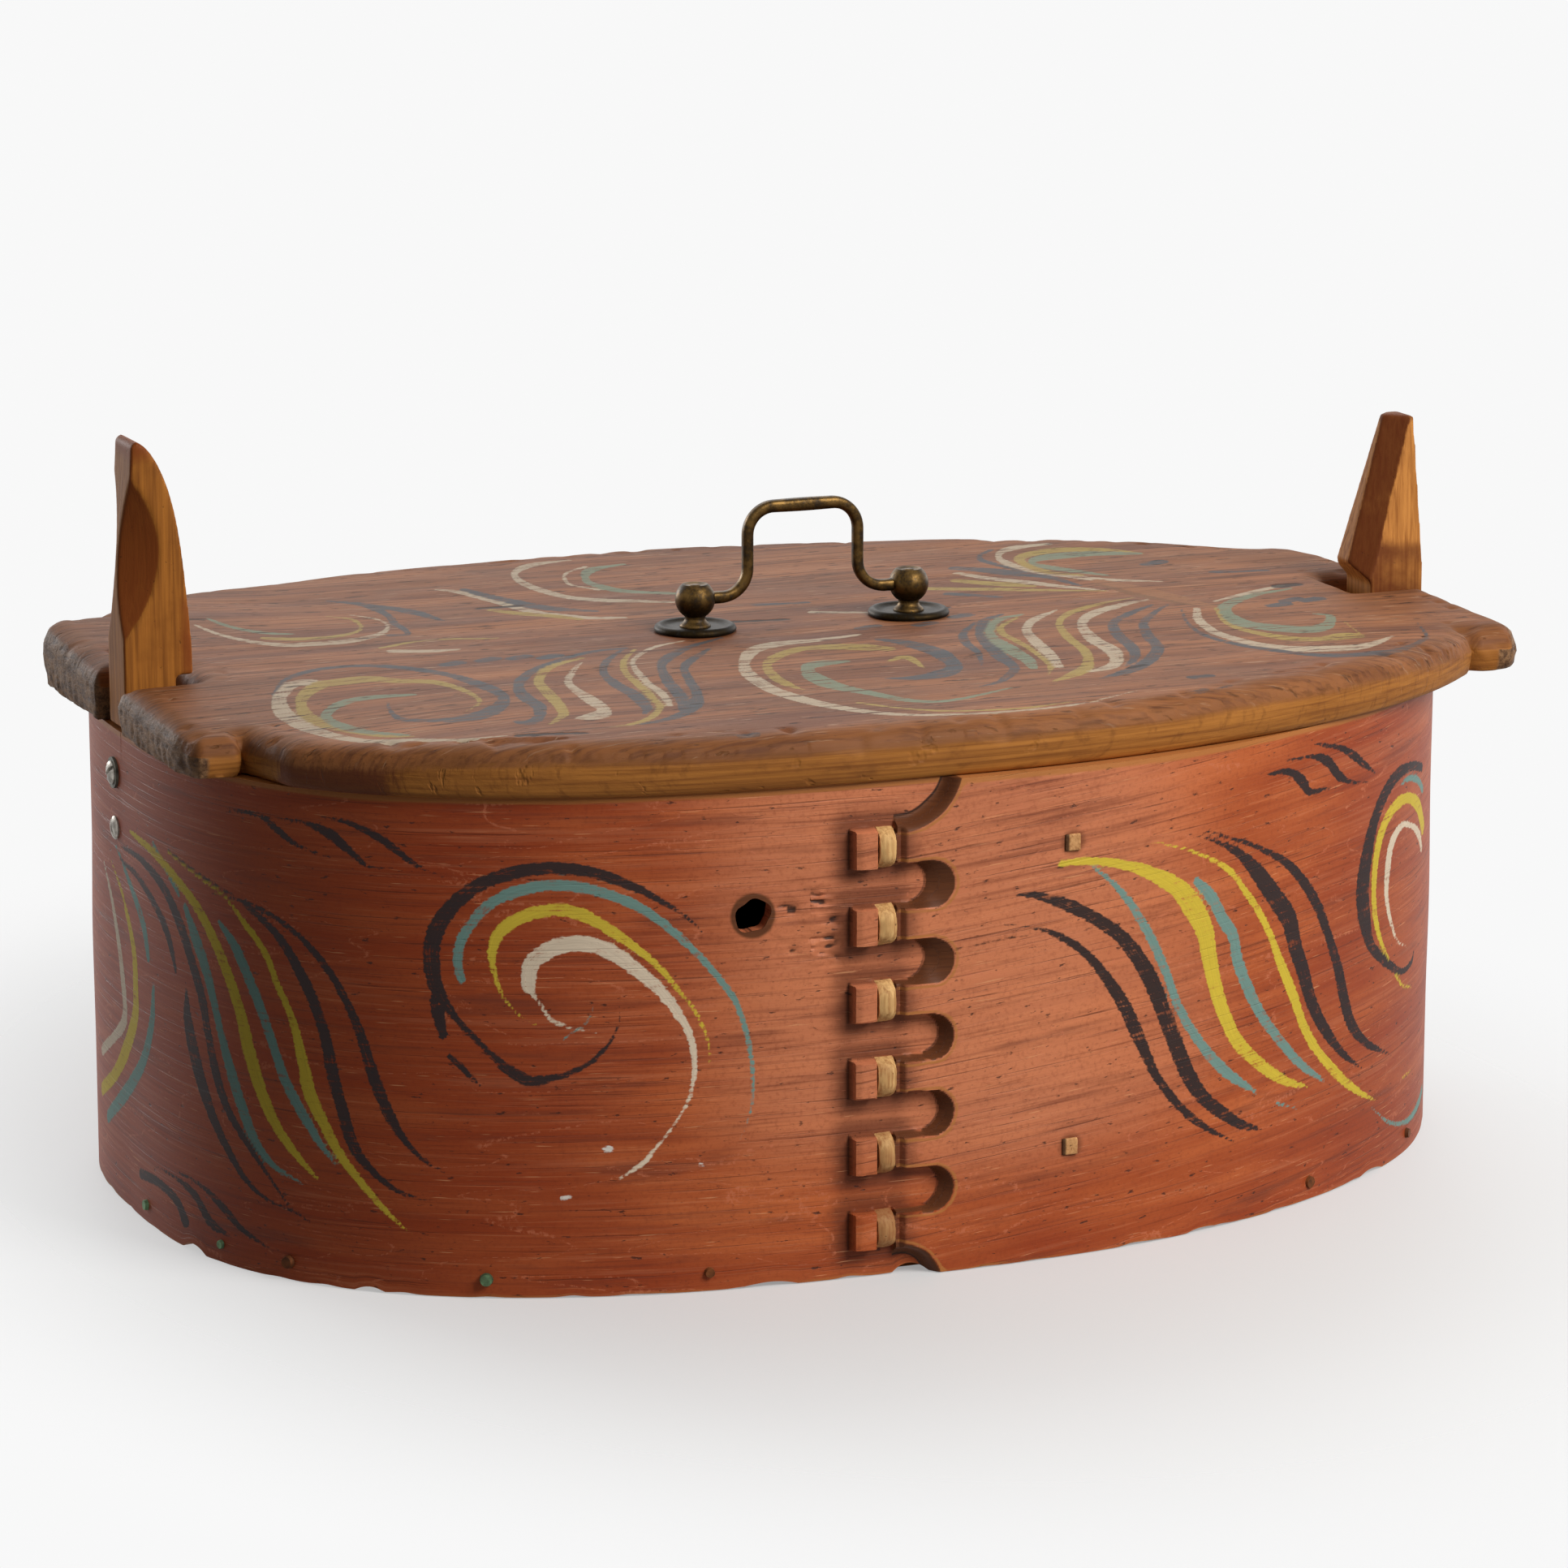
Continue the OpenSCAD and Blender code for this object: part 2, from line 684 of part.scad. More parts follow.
// A ball head on a waisted neck, with a shank through the lid
module pillar(x, way) {
    seat = lid_top + rose_dish;
    waist_z = ball_z - ball_radius;
    pin_hole = pin_radius + pin_clearance;
    color("darkgoldenrod") difference() {
        union() {
            translate([x, handle_y, ball_z]) sphere(r = ball_radius);
            translate([x, handle_y, seat]) cylinder(h = waist_z - seat, r1 = foot_radius, r2 = neck_radius);
            translate([x, handle_y, waist_z]) cylinder(h = ball_radius, r = neck_radius);
            translate([x, handle_y, lid_under - nut_thickness])
                cylinder(h = seat - lid_under + nut_thickness, r = shank_radius);
        }
        translate([x, handle_y, ball_z + ball_radius - ball_flat])
            cylinder(h = ball_flat + cut_past, r = ball_radius);
        translate([x - way * (pin_length + pin_clearance - ball_radius), handle_y, ball_z])
            rotate([0, way * 90, 0])
                cylinder(h = ball_radius + cut_past, r = pin_hole);
    }
}

module nut(x) {
    color("darkgoldenrod") translate([x, handle_y, lid_under - nut_thickness]) difference() {
        cylinder(h = nut_thickness, r = nut_radius, $fn = 6);
        translate([0, 0, -cut_past])
            cylinder(h = nut_thickness + 2 * cut_past, r = shank_radius + shank_clearance);
    }
}

// A quarter bend of the bail's rod in the XZ plane, about a middle
module quarter_bend(x, z, turn) {
    translate([x, handle_y, z])
        rotate([90, 0, 0])
            rotate([0, 0, turn])
                rotate_extrude(angle = 90, $fn = 64) translate([bail_bend, 0]) circle(r = bail_radius);
}

// One half of the bail, on the +X side when way is 1
module bail_half(way) {
    leg = bail_leg_spacing / 2;
    pin_end = pillar_spacing / 2 - ball_radius + pin_length;
    collar = pillar_spacing / 2 - ball_radius - pin_clearance;
    translate([handle_x, 0, 0]) mirror([way > 0 ? 0 : 1, 0, 0]) {
        translate([0, handle_y, ball_z + bail_rise]) rotate([0, 90, 0])
            cylinder(h = leg - bail_bend, r = bail_radius);
        quarter_bend(leg - bail_bend, ball_z + bail_rise - bail_bend, 0);
        translate([leg, handle_y, ball_z + bail_bend])
            cylinder(h = bail_rise - 2 * bail_bend, r = bail_radius);
        quarter_bend(leg + bail_bend, ball_z + bail_bend, 180);
        translate([leg + bail_bend, handle_y, ball_z]) rotate([0, 90, 0])
            cylinder(h = collar - leg - bail_bend, r = bail_radius);
        translate([leg + bail_bend, handle_y, ball_z]) rotate([0, 90, 0])
            cylinder(h = pin_end - leg - bail_bend, r = pin_radius);
    }
}

module bail() {
    color("darkgoldenrod") union() {
        bail_half(1);
        bail_half(-1);
    }
}

band();
bottom_board();
bottom_pegs();
bottom_nails();
lap_pegs();
for (i = [1:finger_count])
    root_stitch(i);
left_post();
right_post();
left_screw_upper();
left_screw_washer();
left_screw_lower();
right_post_pegs();
lid_board();
rose(pillar_x[0]);  // left_rose
rose(pillar_x[1]);  // right_rose
pillar(pillar_x[0], 1);  // left_pillar
pillar(pillar_x[1], -1);  // right_pillar
nut(pillar_x[0]);  // left_nut
nut(pillar_x[1]);  // right_nut
bail();
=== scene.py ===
# %% [markdown]
# # A painted bentwood box
# An oval food box is bent from one thin board, sewn with root where its ends lap, and painted with scrolls.
# Its engineering frame already has the right sizes and joints, so this lesson dresses that frame: each new
# piece takes the place of a frame piece and rides on the same body. Starting from a blank scene would be
# freer, but nothing would then be sure to fit or to move.

# %% Load the frame and keep its size
import math

import bmesh
import bpy
import numpy as np
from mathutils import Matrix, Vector, geometry


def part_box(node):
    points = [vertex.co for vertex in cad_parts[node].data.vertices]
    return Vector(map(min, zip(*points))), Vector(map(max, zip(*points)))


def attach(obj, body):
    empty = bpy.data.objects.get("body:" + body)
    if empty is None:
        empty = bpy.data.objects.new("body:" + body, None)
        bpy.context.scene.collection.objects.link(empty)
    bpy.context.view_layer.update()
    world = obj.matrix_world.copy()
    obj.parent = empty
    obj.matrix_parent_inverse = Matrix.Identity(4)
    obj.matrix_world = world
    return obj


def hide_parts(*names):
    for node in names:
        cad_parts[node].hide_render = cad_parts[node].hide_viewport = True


MM = 0.001
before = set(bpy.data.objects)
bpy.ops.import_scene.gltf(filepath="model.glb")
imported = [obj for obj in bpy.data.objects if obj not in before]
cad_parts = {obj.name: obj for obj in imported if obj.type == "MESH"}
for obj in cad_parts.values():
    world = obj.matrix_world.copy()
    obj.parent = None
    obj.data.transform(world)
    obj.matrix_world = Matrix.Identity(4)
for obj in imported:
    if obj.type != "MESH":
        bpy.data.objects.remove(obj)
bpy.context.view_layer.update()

# %% [markdown]
# ## Camera
# The picture is seen from the left front, a little above the lid. A camera could be placed by eye, but the
# painting is traced from photo pixels later on, so it stands where the photo was taken from, as worked out
# from the photo. A long lens keeps both ends nearly the same height.

# %% Camera
PHOTO_PIXELS = 1932
CAMERA_AT = Vector((-0.7800, -1.9001, 0.5732))
CAMERA_AZIMUTH, CAMERA_ELEVATION = -22.30, 12.327
LENS = 141.64
SENSOR = 36.0


def linked(name, data):
    """A new object in the scene."""
    made = bpy.data.objects.new(name, data)
    bpy.context.scene.collection.objects.link(made)
    return made


def bearing(azimuth, elevation):
    """The way out from the box, in degrees from the front towards the right, and upwards."""
    a, e = math.radians(azimuth), math.radians(elevation)
    return Vector((math.sin(a) * math.cos(e), -math.cos(a) * math.cos(e), math.sin(e)))


def put(made, location, turn):
    made.location = location
    made.rotation_mode = "QUATERNION"
    made.rotation_quaternion = turn


camera_turn = (-bearing(CAMERA_AZIMUTH, CAMERA_ELEVATION)).to_track_quat("-Z", "Y")
camera = linked("camera", bpy.data.cameras.new("camera"))
put(camera, CAMERA_AT, camera_turn)
camera.data.lens = LENS
camera.data.sensor_width = SENSOR
bpy.context.scene.camera = camera
print("camera at", tuple(CAMERA_AT), "lens", LENS)


# %% [markdown]
# ## Shader maths
# Worn wood needs many layers of noise, mixed by masks. Wiring such nodes by hand gets long, so a small
# class wraps a socket: adding or multiplying two values adds the Math node, and one method makes any
# other node. A finish then reads like a recipe.

# %% Shader maths
class Value:
    """A socket of a material: arithmetic on it adds Math nodes."""

    def __init__(self, finish, socket):
        self.finish = finish
        self.socket = socket

    def math(self, operation, *others):
        return self.finish.node("Math", {"operation": operation}, dict(enumerate((self,) + others)))

    def __add__(self, other):
        return self.math("ADD", other)

    def __sub__(self, other):
        return self.math("SUBTRACT", other)

    def __mul__(self, other):
        return self.math("MULTIPLY", other)

    def __rsub__(self, other):
        return self.math("MULTIPLY_ADD", -1.0, other)

    __radd__ = __add__
    __rmul__ = __mul__

    def rise(self, start, end):
        """0 before start, 1 after end, smooth between; start may be above end."""
        settings = {"interpolation_type": "SMOOTHSTEP"}
        return self.finish.node("MapRange", settings, {"Value": self, "From Min": start, "From Max": end})


class Finish:
    """A material, built node by node."""

    def __init__(self, name):
        self.material = bpy.data.materials.new(name)
        self.material.use_nodes = True
        self.tree = self.material.node_tree
        self.tree.nodes.clear()

    def node(self, kind, settings, sockets, output=0):
        node = self.tree.nodes.new("ShaderNode" + kind)
        for key, setting in settings.items():
            setattr(node, key, setting)
        for key, given in sockets.items():
            if isinstance(given, Value):
                self.tree.links.new(given.socket, node.inputs[key])
            else:
                node.inputs[key].default_value = given
        return Value(self, node.outputs[output])

    def place(self):
        return self.node("TexCoord", {}, {}, "Object")

    def attribute(self, name, output):
        return self.node("Attribute", {"attribute_name": name}, {}, output)

    def stretch(self, vector, scale):
        return self.node("VectorMath", {"operation": "MULTIPLY"}, {0: vector, 1: scale})

    def noise(self, vector, scale, detail=3.0, roughness=0.5, distortion=0.0):
        sockets = {"Vector": vector, "Scale": scale, "Detail": detail, "Roughness": roughness,
                   "Distortion": distortion}
        return self.node("TexNoise", {}, sockets)

    def streaks(self, vector, scale, detail=3.0, roughness=0.5, distortion=0.0):
        """Noise drawn out along the axes; scale is its repeats to the unit along each."""
        return self.noise(self.stretch(vector, scale), 1.0, detail, roughness, distortion)

    def mix(self, factor, first, second):
        return self.node("Mix", {"data_type": "RGBA"}, {0: factor, 6: first, 7: second}, 2)

    def coats(self, tone, layers):
        """The tone under these layers, each a mask and a colour as it shows on screen."""
        for mask, colour in layers:
            tone = self.mix(mask, tone, srgb(*colour))
        return tone

    def bump(self, height, distance, strength):
        return self.node("Bump", {}, {"Height": height, "Distance": distance, "Strength": strength})

    def surface(self, sockets):
        shader = self.node("BsdfPrincipled", {}, sockets)
        output = self.tree.nodes.new("ShaderNodeOutputMaterial")
        self.tree.links.new(shader.socket, output.inputs["Surface"])
        return self.material


def srgb(red_shaded, green, blue):
    """A colour written as it shows on screen, 0 to 255."""
    shown = np.array((red_shaded, green, blue)) / 255
    linear = np.where(shown <= 0.04045, shown / 12.92, ((shown + 0.055) / 1.055) ** 2.4)
    return (*linear.tolist(), 1.0)


# %% [markdown]
# ## The wall's plan
# The board is steamed and bent round a form, so its plan is a smooth oval, fuller on the left than on the
# right. A curve object could draw it. A formula is used instead, because the same oval has to place the
# wall, the lid's left half, the pegs and the painting. The run is the length along the board from the front.

# %% The wall's plan
BELLY_X = -9 * MM
LEFT_FULLNESS = 2.66
RIGHT_FULLNESS = 2.24
END_PUSH, PUSH_POWER = 9 * MM, 24
SLOPE_STEP = math.radians(0.1)
WALL_THICKNESS = 5 * MM
HALF_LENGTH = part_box("band")[1].x
HALF_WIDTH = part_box("band")[1].y
WALL_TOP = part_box("band")[1].z
LAP_THICKNESS = 5 * MM
LAP_TIP_X, LAP_FULL_X, LAP_TAIL_X = -45 * MM, 45 * MM, 150 * MM


def oval_line(angle):
    """Points of the wall's plan at these angles."""
    along, across = np.cos(angle), np.sin(angle)
    left = along < 0
    reach = np.where(left, HALF_LENGTH + BELLY_X, HALF_LENGTH - BELLY_X - END_PUSH)
    full = np.where(left, LEFT_FULLNESS, RIGHT_FULLNESS)
    push = np.where(left, 0, END_PUSH * np.abs(along) ** PUSH_POWER)
    x = np.sign(along) * reach * np.abs(along) ** (2 / full) + push
    y = np.sign(across) * HALF_WIDTH * np.abs(across) ** (2 / full)
    return np.stack([x + BELLY_X, y], -1)


def oval(angle, out=0.0):
    """The same points, moved out along the normal."""
    step = oval_line(angle + SLOPE_STEP) - oval_line(angle - SLOPE_STEP)
    normal = np.stack([step[..., 1], -step[..., 0]], -1) / np.linalg.norm(step, axis=-1, keepdims=True)
    return oval_line(angle) + np.asarray(out)[..., None] * normal


PLAN_SAMPLES = 24001
plan_angle = np.linspace(-1.5 * math.pi, 0.5 * math.pi, PLAN_SAMPLES)
plan_point = oval(plan_angle)
plan_step = np.linalg.norm(np.diff(plan_point, axis=0), axis=1)
plan_run = np.concatenate([[0], np.cumsum(plan_step)])
PERIMETER = plan_run[-1]
plan_run -= np.interp(-0.5 * math.pi, plan_angle, plan_run)
LEFT_END = np.interp(-math.pi, plan_angle, plan_run)
RIGHT_END = np.interp(0, plan_angle, plan_run)


def angle_at(run):
    """The plan's angle at this run, which may go on past the whole way round."""
    low = plan_run[0]
    return np.interp((run - low) % PERIMETER + low, plan_run, plan_angle)


def front_run(x):
    """The run along the wall at this X on the front."""
    front = (plan_angle >= -math.pi) & (plan_angle <= 0)
    return np.interp(x, plan_point[front, 0], plan_run[front])


def lap_out(run):
    """How far the overlapping end stands out of the plan."""
    point = oval(angle_at(run))
    sink = np.clip((point[..., 0] - LAP_FULL_X) / (LAP_TAIL_X - LAP_FULL_X), 0, 1)
    on_front = (point[..., 1] < 0) & (point[..., 0] > LAP_TIP_X)
    return np.where(on_front, LAP_THICKNESS * (1 + np.cos(math.pi * sink)) / 2, 0)


print("perimeter", round(PERIMETER, 4), "left end", round(LEFT_END, 4), "right end", round(RIGHT_END, 4))

# %% [markdown]
# ## From photo pixels to the wall and the lid
# The painter worked on the curved wall, while the photo shows it flat. A ray from the camera through a
# pixel meets the wall or the lid in one place. That turns a traced pixel into a run and a height, and the
# stroke then lies on the wall at any view.

# %% From photo pixels to the wall and the lid
LID_LOW, LID_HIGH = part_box("lid_board")
LID_TOP = LID_HIGH.z
camera_axes = np.array(camera_turn.to_matrix())
focal_pixels = LENS / SENSOR * PHOTO_PIXELS


def rays(pixels):
    """The ways from the camera through these pixels of the photo."""
    local = np.column_stack([pixels[:, 0] - PHOTO_PIXELS / 2, PHOTO_PIXELS / 2 - pixels[:, 1],
                             np.full(len(pixels), -focal_pixels)])
    return local @ camera_axes.T


SIGHT_MARGIN, SIGHT_SAMPLES = 0.06, 2600
sight_run = np.linspace(LEFT_END - SIGHT_MARGIN, RIGHT_END + SIGHT_MARGIN, SIGHT_SAMPLES)
sight_plan = oval(angle_at(sight_run), lap_out(sight_run))


def cross(first, second):
    return first[..., 0] * second[..., 1] - first[..., 1] * second[..., 0]


def on_wall(pixels):
    """Run and height where the photo's pixels meet the wall, or its nearest edge."""
    way = rays(pixels)
    eye = np.array(CAMERA_AT)
    found = np.zeros((len(pixels), 2))
    start, step = sight_plan[:-1], np.diff(sight_plan, axis=0)
    for number, ray in enumerate(way):
        apart = cross(ray[:2], step)
        far = cross(start - eye[:2], step) / apart
        share = cross(start - eye[:2], np.broadcast_to(ray[:2], step.shape)) / apart
        hit = np.nonzero((share >= 0) & (share <= 1) & (far > 0))[0]
        if len(hit):
            best = hit[np.argmin(far[hit])]
            run = sight_run[best] + share[best] * (sight_run[best + 1] - sight_run[best])
            travel = far[best]
        else:
            flat = ray[:2] / np.linalg.norm(ray[:2])
            best = np.argmin(np.abs(cross(sight_plan - eye[:2], np.broadcast_to(flat, sight_plan.shape))))
            run = sight_run[best]
            travel = (sight_plan[best] - eye[:2]) @ flat / np.linalg.norm(ray[:2])
        found[number] = run, eye[2] + travel * ray[2]
    return found


def on_lid(pixels):
    way = rays(pixels)
    travel = (LID_TOP - CAMERA_AT.z) / way[:, 2]
    return np.array(CAMERA_AT)[:2] + travel[:, None] * way[:, :2]


# %% [markdown]
# ## Strokes on the wall
# Each stroke was one pull of a loaded brush: thin, then full, then thin. Tracing a few points with a width
# for each is enough, because a smooth line runs through them. A painted picture would be quicker to make,
# but strokes stay sharp at any size. Every row below is a colour and its points: photo x, photo y, width.

# %% Strokes on the wall
WALL_COLOURS = {"black": srgb(27, 26, 29), "yellow": srgb(216, 190, 62), "teal": srgb(112, 150, 142),
                "cream": srgb(232, 214, 188), "white": srgb(236, 230, 220),
                "crack": srgb(44, 24, 17)}
LEFT_FAN = [
    ("black", (148, 1058, 3), (170, 1080, 6), (192, 1117, 7), (207, 1154, 7), (216, 1198, 3)),
    ("black", (228, 1220, 3), (231, 1261, 11), (242, 1313, 13), (259, 1368, 11), (277, 1409, 9),
     (300, 1450, 7), (326, 1476, 5), (355, 1490, 3), (385, 1509, 1)),
    ("black", (148, 1041, 3), (174, 1059, 7), (200, 1091, 9), (220, 1135, 10), (235, 1183, 10),
     (248, 1231, 10), (255, 1272, 9), (266, 1324, 10), (281, 1368, 9), (307, 1413, 7), (329, 1446, 5),
     (355, 1483, 3), (388, 1509, 1)),
    ("black", (207, 1047, 3), (244, 1076, 4), (285, 1102, 4), (314, 1124, 7), (344, 1154, 10),
     (366, 1191, 13), (385, 1231, 14), (400, 1276, 14), (409, 1320, 15), (422, 1368, 15),
     (436, 1413, 14), (462, 1446, 9), (492, 1468, 6), (525, 1479, 2)),
    ("black", (261, 1100, 2), (296, 1109, 5), (333, 1126, 6), (370, 1154, 7), (396, 1183, 9),
     (418, 1217, 10), (436, 1254, 11), (448, 1287, 13), (461, 1328, 15), (477, 1368, 14),
     (499, 1405, 9), (525, 1431, 5), (551, 1446, 1)),
    ("teal", (189, 1039, 3), (207, 1076, 5), (220, 1102, 4)),
    ("teal", (228, 1117, 5), (240, 1154, 11), (252, 1191, 11), (263, 1235, 9), (272, 1276, 9),
     (285, 1324, 12), (302, 1376, 12), (318, 1413, 10), (340, 1439, 7), (374, 1459, 2)),
    ("teal", (270, 1135, 4), (289, 1165, 11), (305, 1202, 12), (322, 1246, 12), (337, 1291, 11),
     (351, 1331, 12), (370, 1368, 12), (392, 1405, 9), (414, 1435, 3)),
    ("yellow", (161, 1024, 4), (189, 1050, 8), (218, 1084, 9), (244, 1120, 10), (263, 1157, 11),
     (281, 1202, 12), (296, 1250, 13), (307, 1298, 15), (322, 1346, 14), (340, 1387, 12),
     (366, 1424, 9), (392, 1453, 3)),
    ("yellow", (207, 1050, 2), (259, 1091, 3), (281, 1109, 3), (303, 1139, 7), (326, 1172, 8),
     (340, 1209, 8), (359, 1254, 9), (372, 1305, 13), (381, 1346, 16), (400, 1387, 13), (422, 1427, 11),
     (451, 1464, 9), (481, 1498, 6), (507, 1520, 1)),
    ("black", (281, 998, 4), (318, 1004, 6), (344, 1024, 9), (370, 1043, 5), (414, 1058, 1)),
    ("black", (326, 1006, 2), (374, 1013, 5), (407, 1028, 14), (433, 1050, 9), (455, 1067, 5),
     (488, 1071, 1)),
    ("black", (396, 1006, 3), (433, 1015, 7), (470, 1034, 10), (499, 1056, 8), (522, 1071, 4),
     (547, 1080, 1)),
    ("black", (174, 1446, 12), (196, 1457, 10), (218, 1479, 9), (229, 1505, 10)),
    ("black", (189, 1435, 2), (215, 1450, 4), (240, 1472, 8), (259, 1505, 10), (285, 1524, 2)),
    ("black", (215, 1440, 2), (248, 1461, 5), (274, 1487, 9), (300, 1516, 7), (344, 1546, 1)),
]
LEFT_EDGE_SCROLL = [
    ("cream", (128, 1061, 1), (137, 1102, 3), (146, 1157, 4), (152, 1209, 5), (154, 1254, 7),
     (142, 1276, 10), (126, 1294, 9)),
    ("yellow", (135, 1054, 1), (152, 1106, 3), (165, 1165, 5), (168, 1217, 6), (167, 1254, 9),
     (155, 1294, 12), (141, 1324, 12), (126, 1342, 10)),
    ("teal", (142, 1041, 2), (159, 1084, 4), (176, 1135, 6), (183, 1180, 4)),
    ("teal", (189, 1217, 3), (187, 1261, 7), (176, 1309, 10), (155, 1346, 14), (133, 1376, 10)),
]
MIDDLE_SCROLL = [
    ("black", (536, 1230, 12), (540, 1250, 16), (546, 1275, 12)),
    ("black", (554, 1301, 7), (573, 1320, 8), (591, 1338, 3)),
    ("black", (875, 1159, 2), (846, 1130, 5), (808, 1106, 9), (764, 1086, 13), (723, 1074, 15),
     (676, 1070, 16), (626, 1077, 17), (585, 1094, 18), (553, 1121, 20), (535, 1153, 22),
     (532, 1185, 21), (538, 1218, 18), (556, 1247, 10), (576, 1270, 8), (603, 1297, 8), (629, 1320, 14),
     (655, 1332, 14), (691, 1326, 8), (723, 1312, 7), (749, 1288, 5), (762, 1262, 3), (762, 1238, 1)),
    ("teal", (909, 1411, 1), (922, 1379, 2), (927, 1356, 4), (927, 1312, 6), (919, 1270, 7),
     (905, 1232, 8), (881, 1200, 9), (858, 1174, 9), (828, 1147, 11), (793, 1121, 12), (752, 1103, 13),
     (711, 1093, 14), (670, 1092, 14), (632, 1100, 15), (603, 1115, 14), (582, 1136, 13),
     (567, 1162, 13), (564, 1188, 12), (569, 1207, 11)),
    ("yellow", (875, 1323, 1), (874, 1294, 3), (868, 1270, 4), (855, 1244, 5), (837, 1221, 6),
     (814, 1194, 8), (787, 1171, 10), (758, 1150, 13), (729, 1133, 15), (699, 1122, 16),
     (664, 1124, 16), (632, 1136, 16), (613, 1153, 15), (606, 1177, 11), (610, 1203, 7), (616, 1221, 5),
     (629, 1241, 3), (647, 1256, 2), (667, 1266, 1)),
    ("cream", (764, 1452, 3), (793, 1432, 6), (811, 1411, 4), (831, 1385, 3), (848, 1356, 4),
     (855, 1326, 6), (855, 1300, 8), (849, 1273, 9), (834, 1247, 12), (814, 1221, 15), (790, 1200, 17),
     (764, 1180, 19), (735, 1166, 19), (705, 1163, 20), (676, 1171, 21), (655, 1188, 21),
     (651, 1212, 18), (656, 1224, 8), (664, 1235, 4), (679, 1256, 6), (702, 1266, 3), (735, 1273, 1)),
    ("teal", (732, 1238, 2), (723, 1259, 2), (694, 1281, 2)),
    ("white", (746, 1416, 8), (752, 1416, 8)),
    ("white", (862, 1435, 6), (866, 1435, 6)),
    ("white", (692, 1477, 4), (702, 1475, 5)),
]
WALL_CRACKS = [("crack", (1172, 1171, 1.6), (1232, 1158, 2), (1288, 1148, 1.2))]
RIGHT_FAN = [
    ("black", (1238, 1139, 2), (1274, 1143, 4), (1306, 1154, 9), (1338, 1175, 11), (1363, 1204, 14),
     (1384, 1236, 17), (1399, 1268, 17), (1413, 1300, 14), (1427, 1329, 11), (1452, 1361, 11),
     (1481, 1386, 9), (1520, 1407, 2)),
    ("black", (1252, 1102, 3), (1281, 1104, 10), (1313, 1114, 16), (1345, 1129, 17), (1377, 1150, 18),
     (1402, 1179, 20), (1420, 1211, 21), (1434, 1246, 20), (1449, 1286, 20), (1463, 1321, 20),
     (1481, 1350, 18), (1506, 1371, 16), (1531, 1386, 12), (1556, 1391, 2)),
    ("teal", (1341, 1064, 3), (1370, 1086, 7), (1391, 1111, 10), (1409, 1139, 11), (1424, 1168, 12),
     (1438, 1200, 11), (1452, 1239, 11), (1470, 1271, 12), (1491, 1300, 13), (1516, 1325, 14),
     (1549, 1346, 4)),
    ("teal", (1574, 1359, 5), (1599, 1366, 2)),
    ("yellow", (1307, 1064, 8), (1341, 1061, 10), (1377, 1064, 12), (1416, 1075, 17), (1449, 1093, 24),
     (1470, 1118, 27), (1484, 1146, 23), (1490, 1175, 20), (1497, 1211, 18), (1509, 1250, 17),
     (1527, 1286, 17), (1556, 1314, 15), (1584, 1332, 12), (1611, 1339, 3)),
    ("teal", (1474, 1086, 12), (1491, 1104, 15), (1506, 1132, 15), (1520, 1154, 14), (1524, 1179, 14),
     (1538, 1218, 14), (1556, 1254, 13), (1577, 1282, 12), (1602, 1311, 11), (1631, 1332, 4)),
    ("yellow", (1413, 1037, 1), (1449, 1043, 3), (1484, 1055, 5), (1513, 1071, 8), (1531, 1093, 8),
     (1552, 1125, 9), (1566, 1154, 8), (1577, 1186, 11), (1591, 1221, 12), (1606, 1264, 11),
     (1624, 1296, 11), (1649, 1325, 12), (1670, 1343, 9), (1695, 1357, 2)),
    ("black", (1456, 1027, 1), (1491, 1034, 4), (1524, 1050, 11), (1549, 1075, 20), (1570, 1104, 23),
     (1588, 1132, 22), (1595, 1164, 18), (1606, 1200, 17), (1616, 1236, 15), (1634, 1271, 14),
     (1656, 1300, 9), (1677, 1316, 2)),
    ("black", (1484, 1023, 3), (1531, 1037, 6), (1563, 1050, 8), (1591, 1068, 12), (1613, 1096, 13),
     (1627, 1125, 12), (1638, 1157, 11), (1649, 1193, 12), (1656, 1229, 13), (1666, 1264, 13),
     (1684, 1286, 10), (1706, 1296, 4), (1720, 1305, 1)),
    ("black", (1562, 954, 4), (1588, 951, 9), (1605, 963, 14), (1614, 976, 10), (1629, 973, 6),
     (1650, 969, 1)),
    ("black", (1585, 938, 3), (1616, 932, 6), (1636, 938, 13), (1650, 956, 12), (1664, 963, 6),
     (1688, 964, 1)),
    ("black", (1619, 916, 3), (1650, 921, 8), (1667, 930, 11), (1681, 942, 8), (1697, 954, 1)),
]
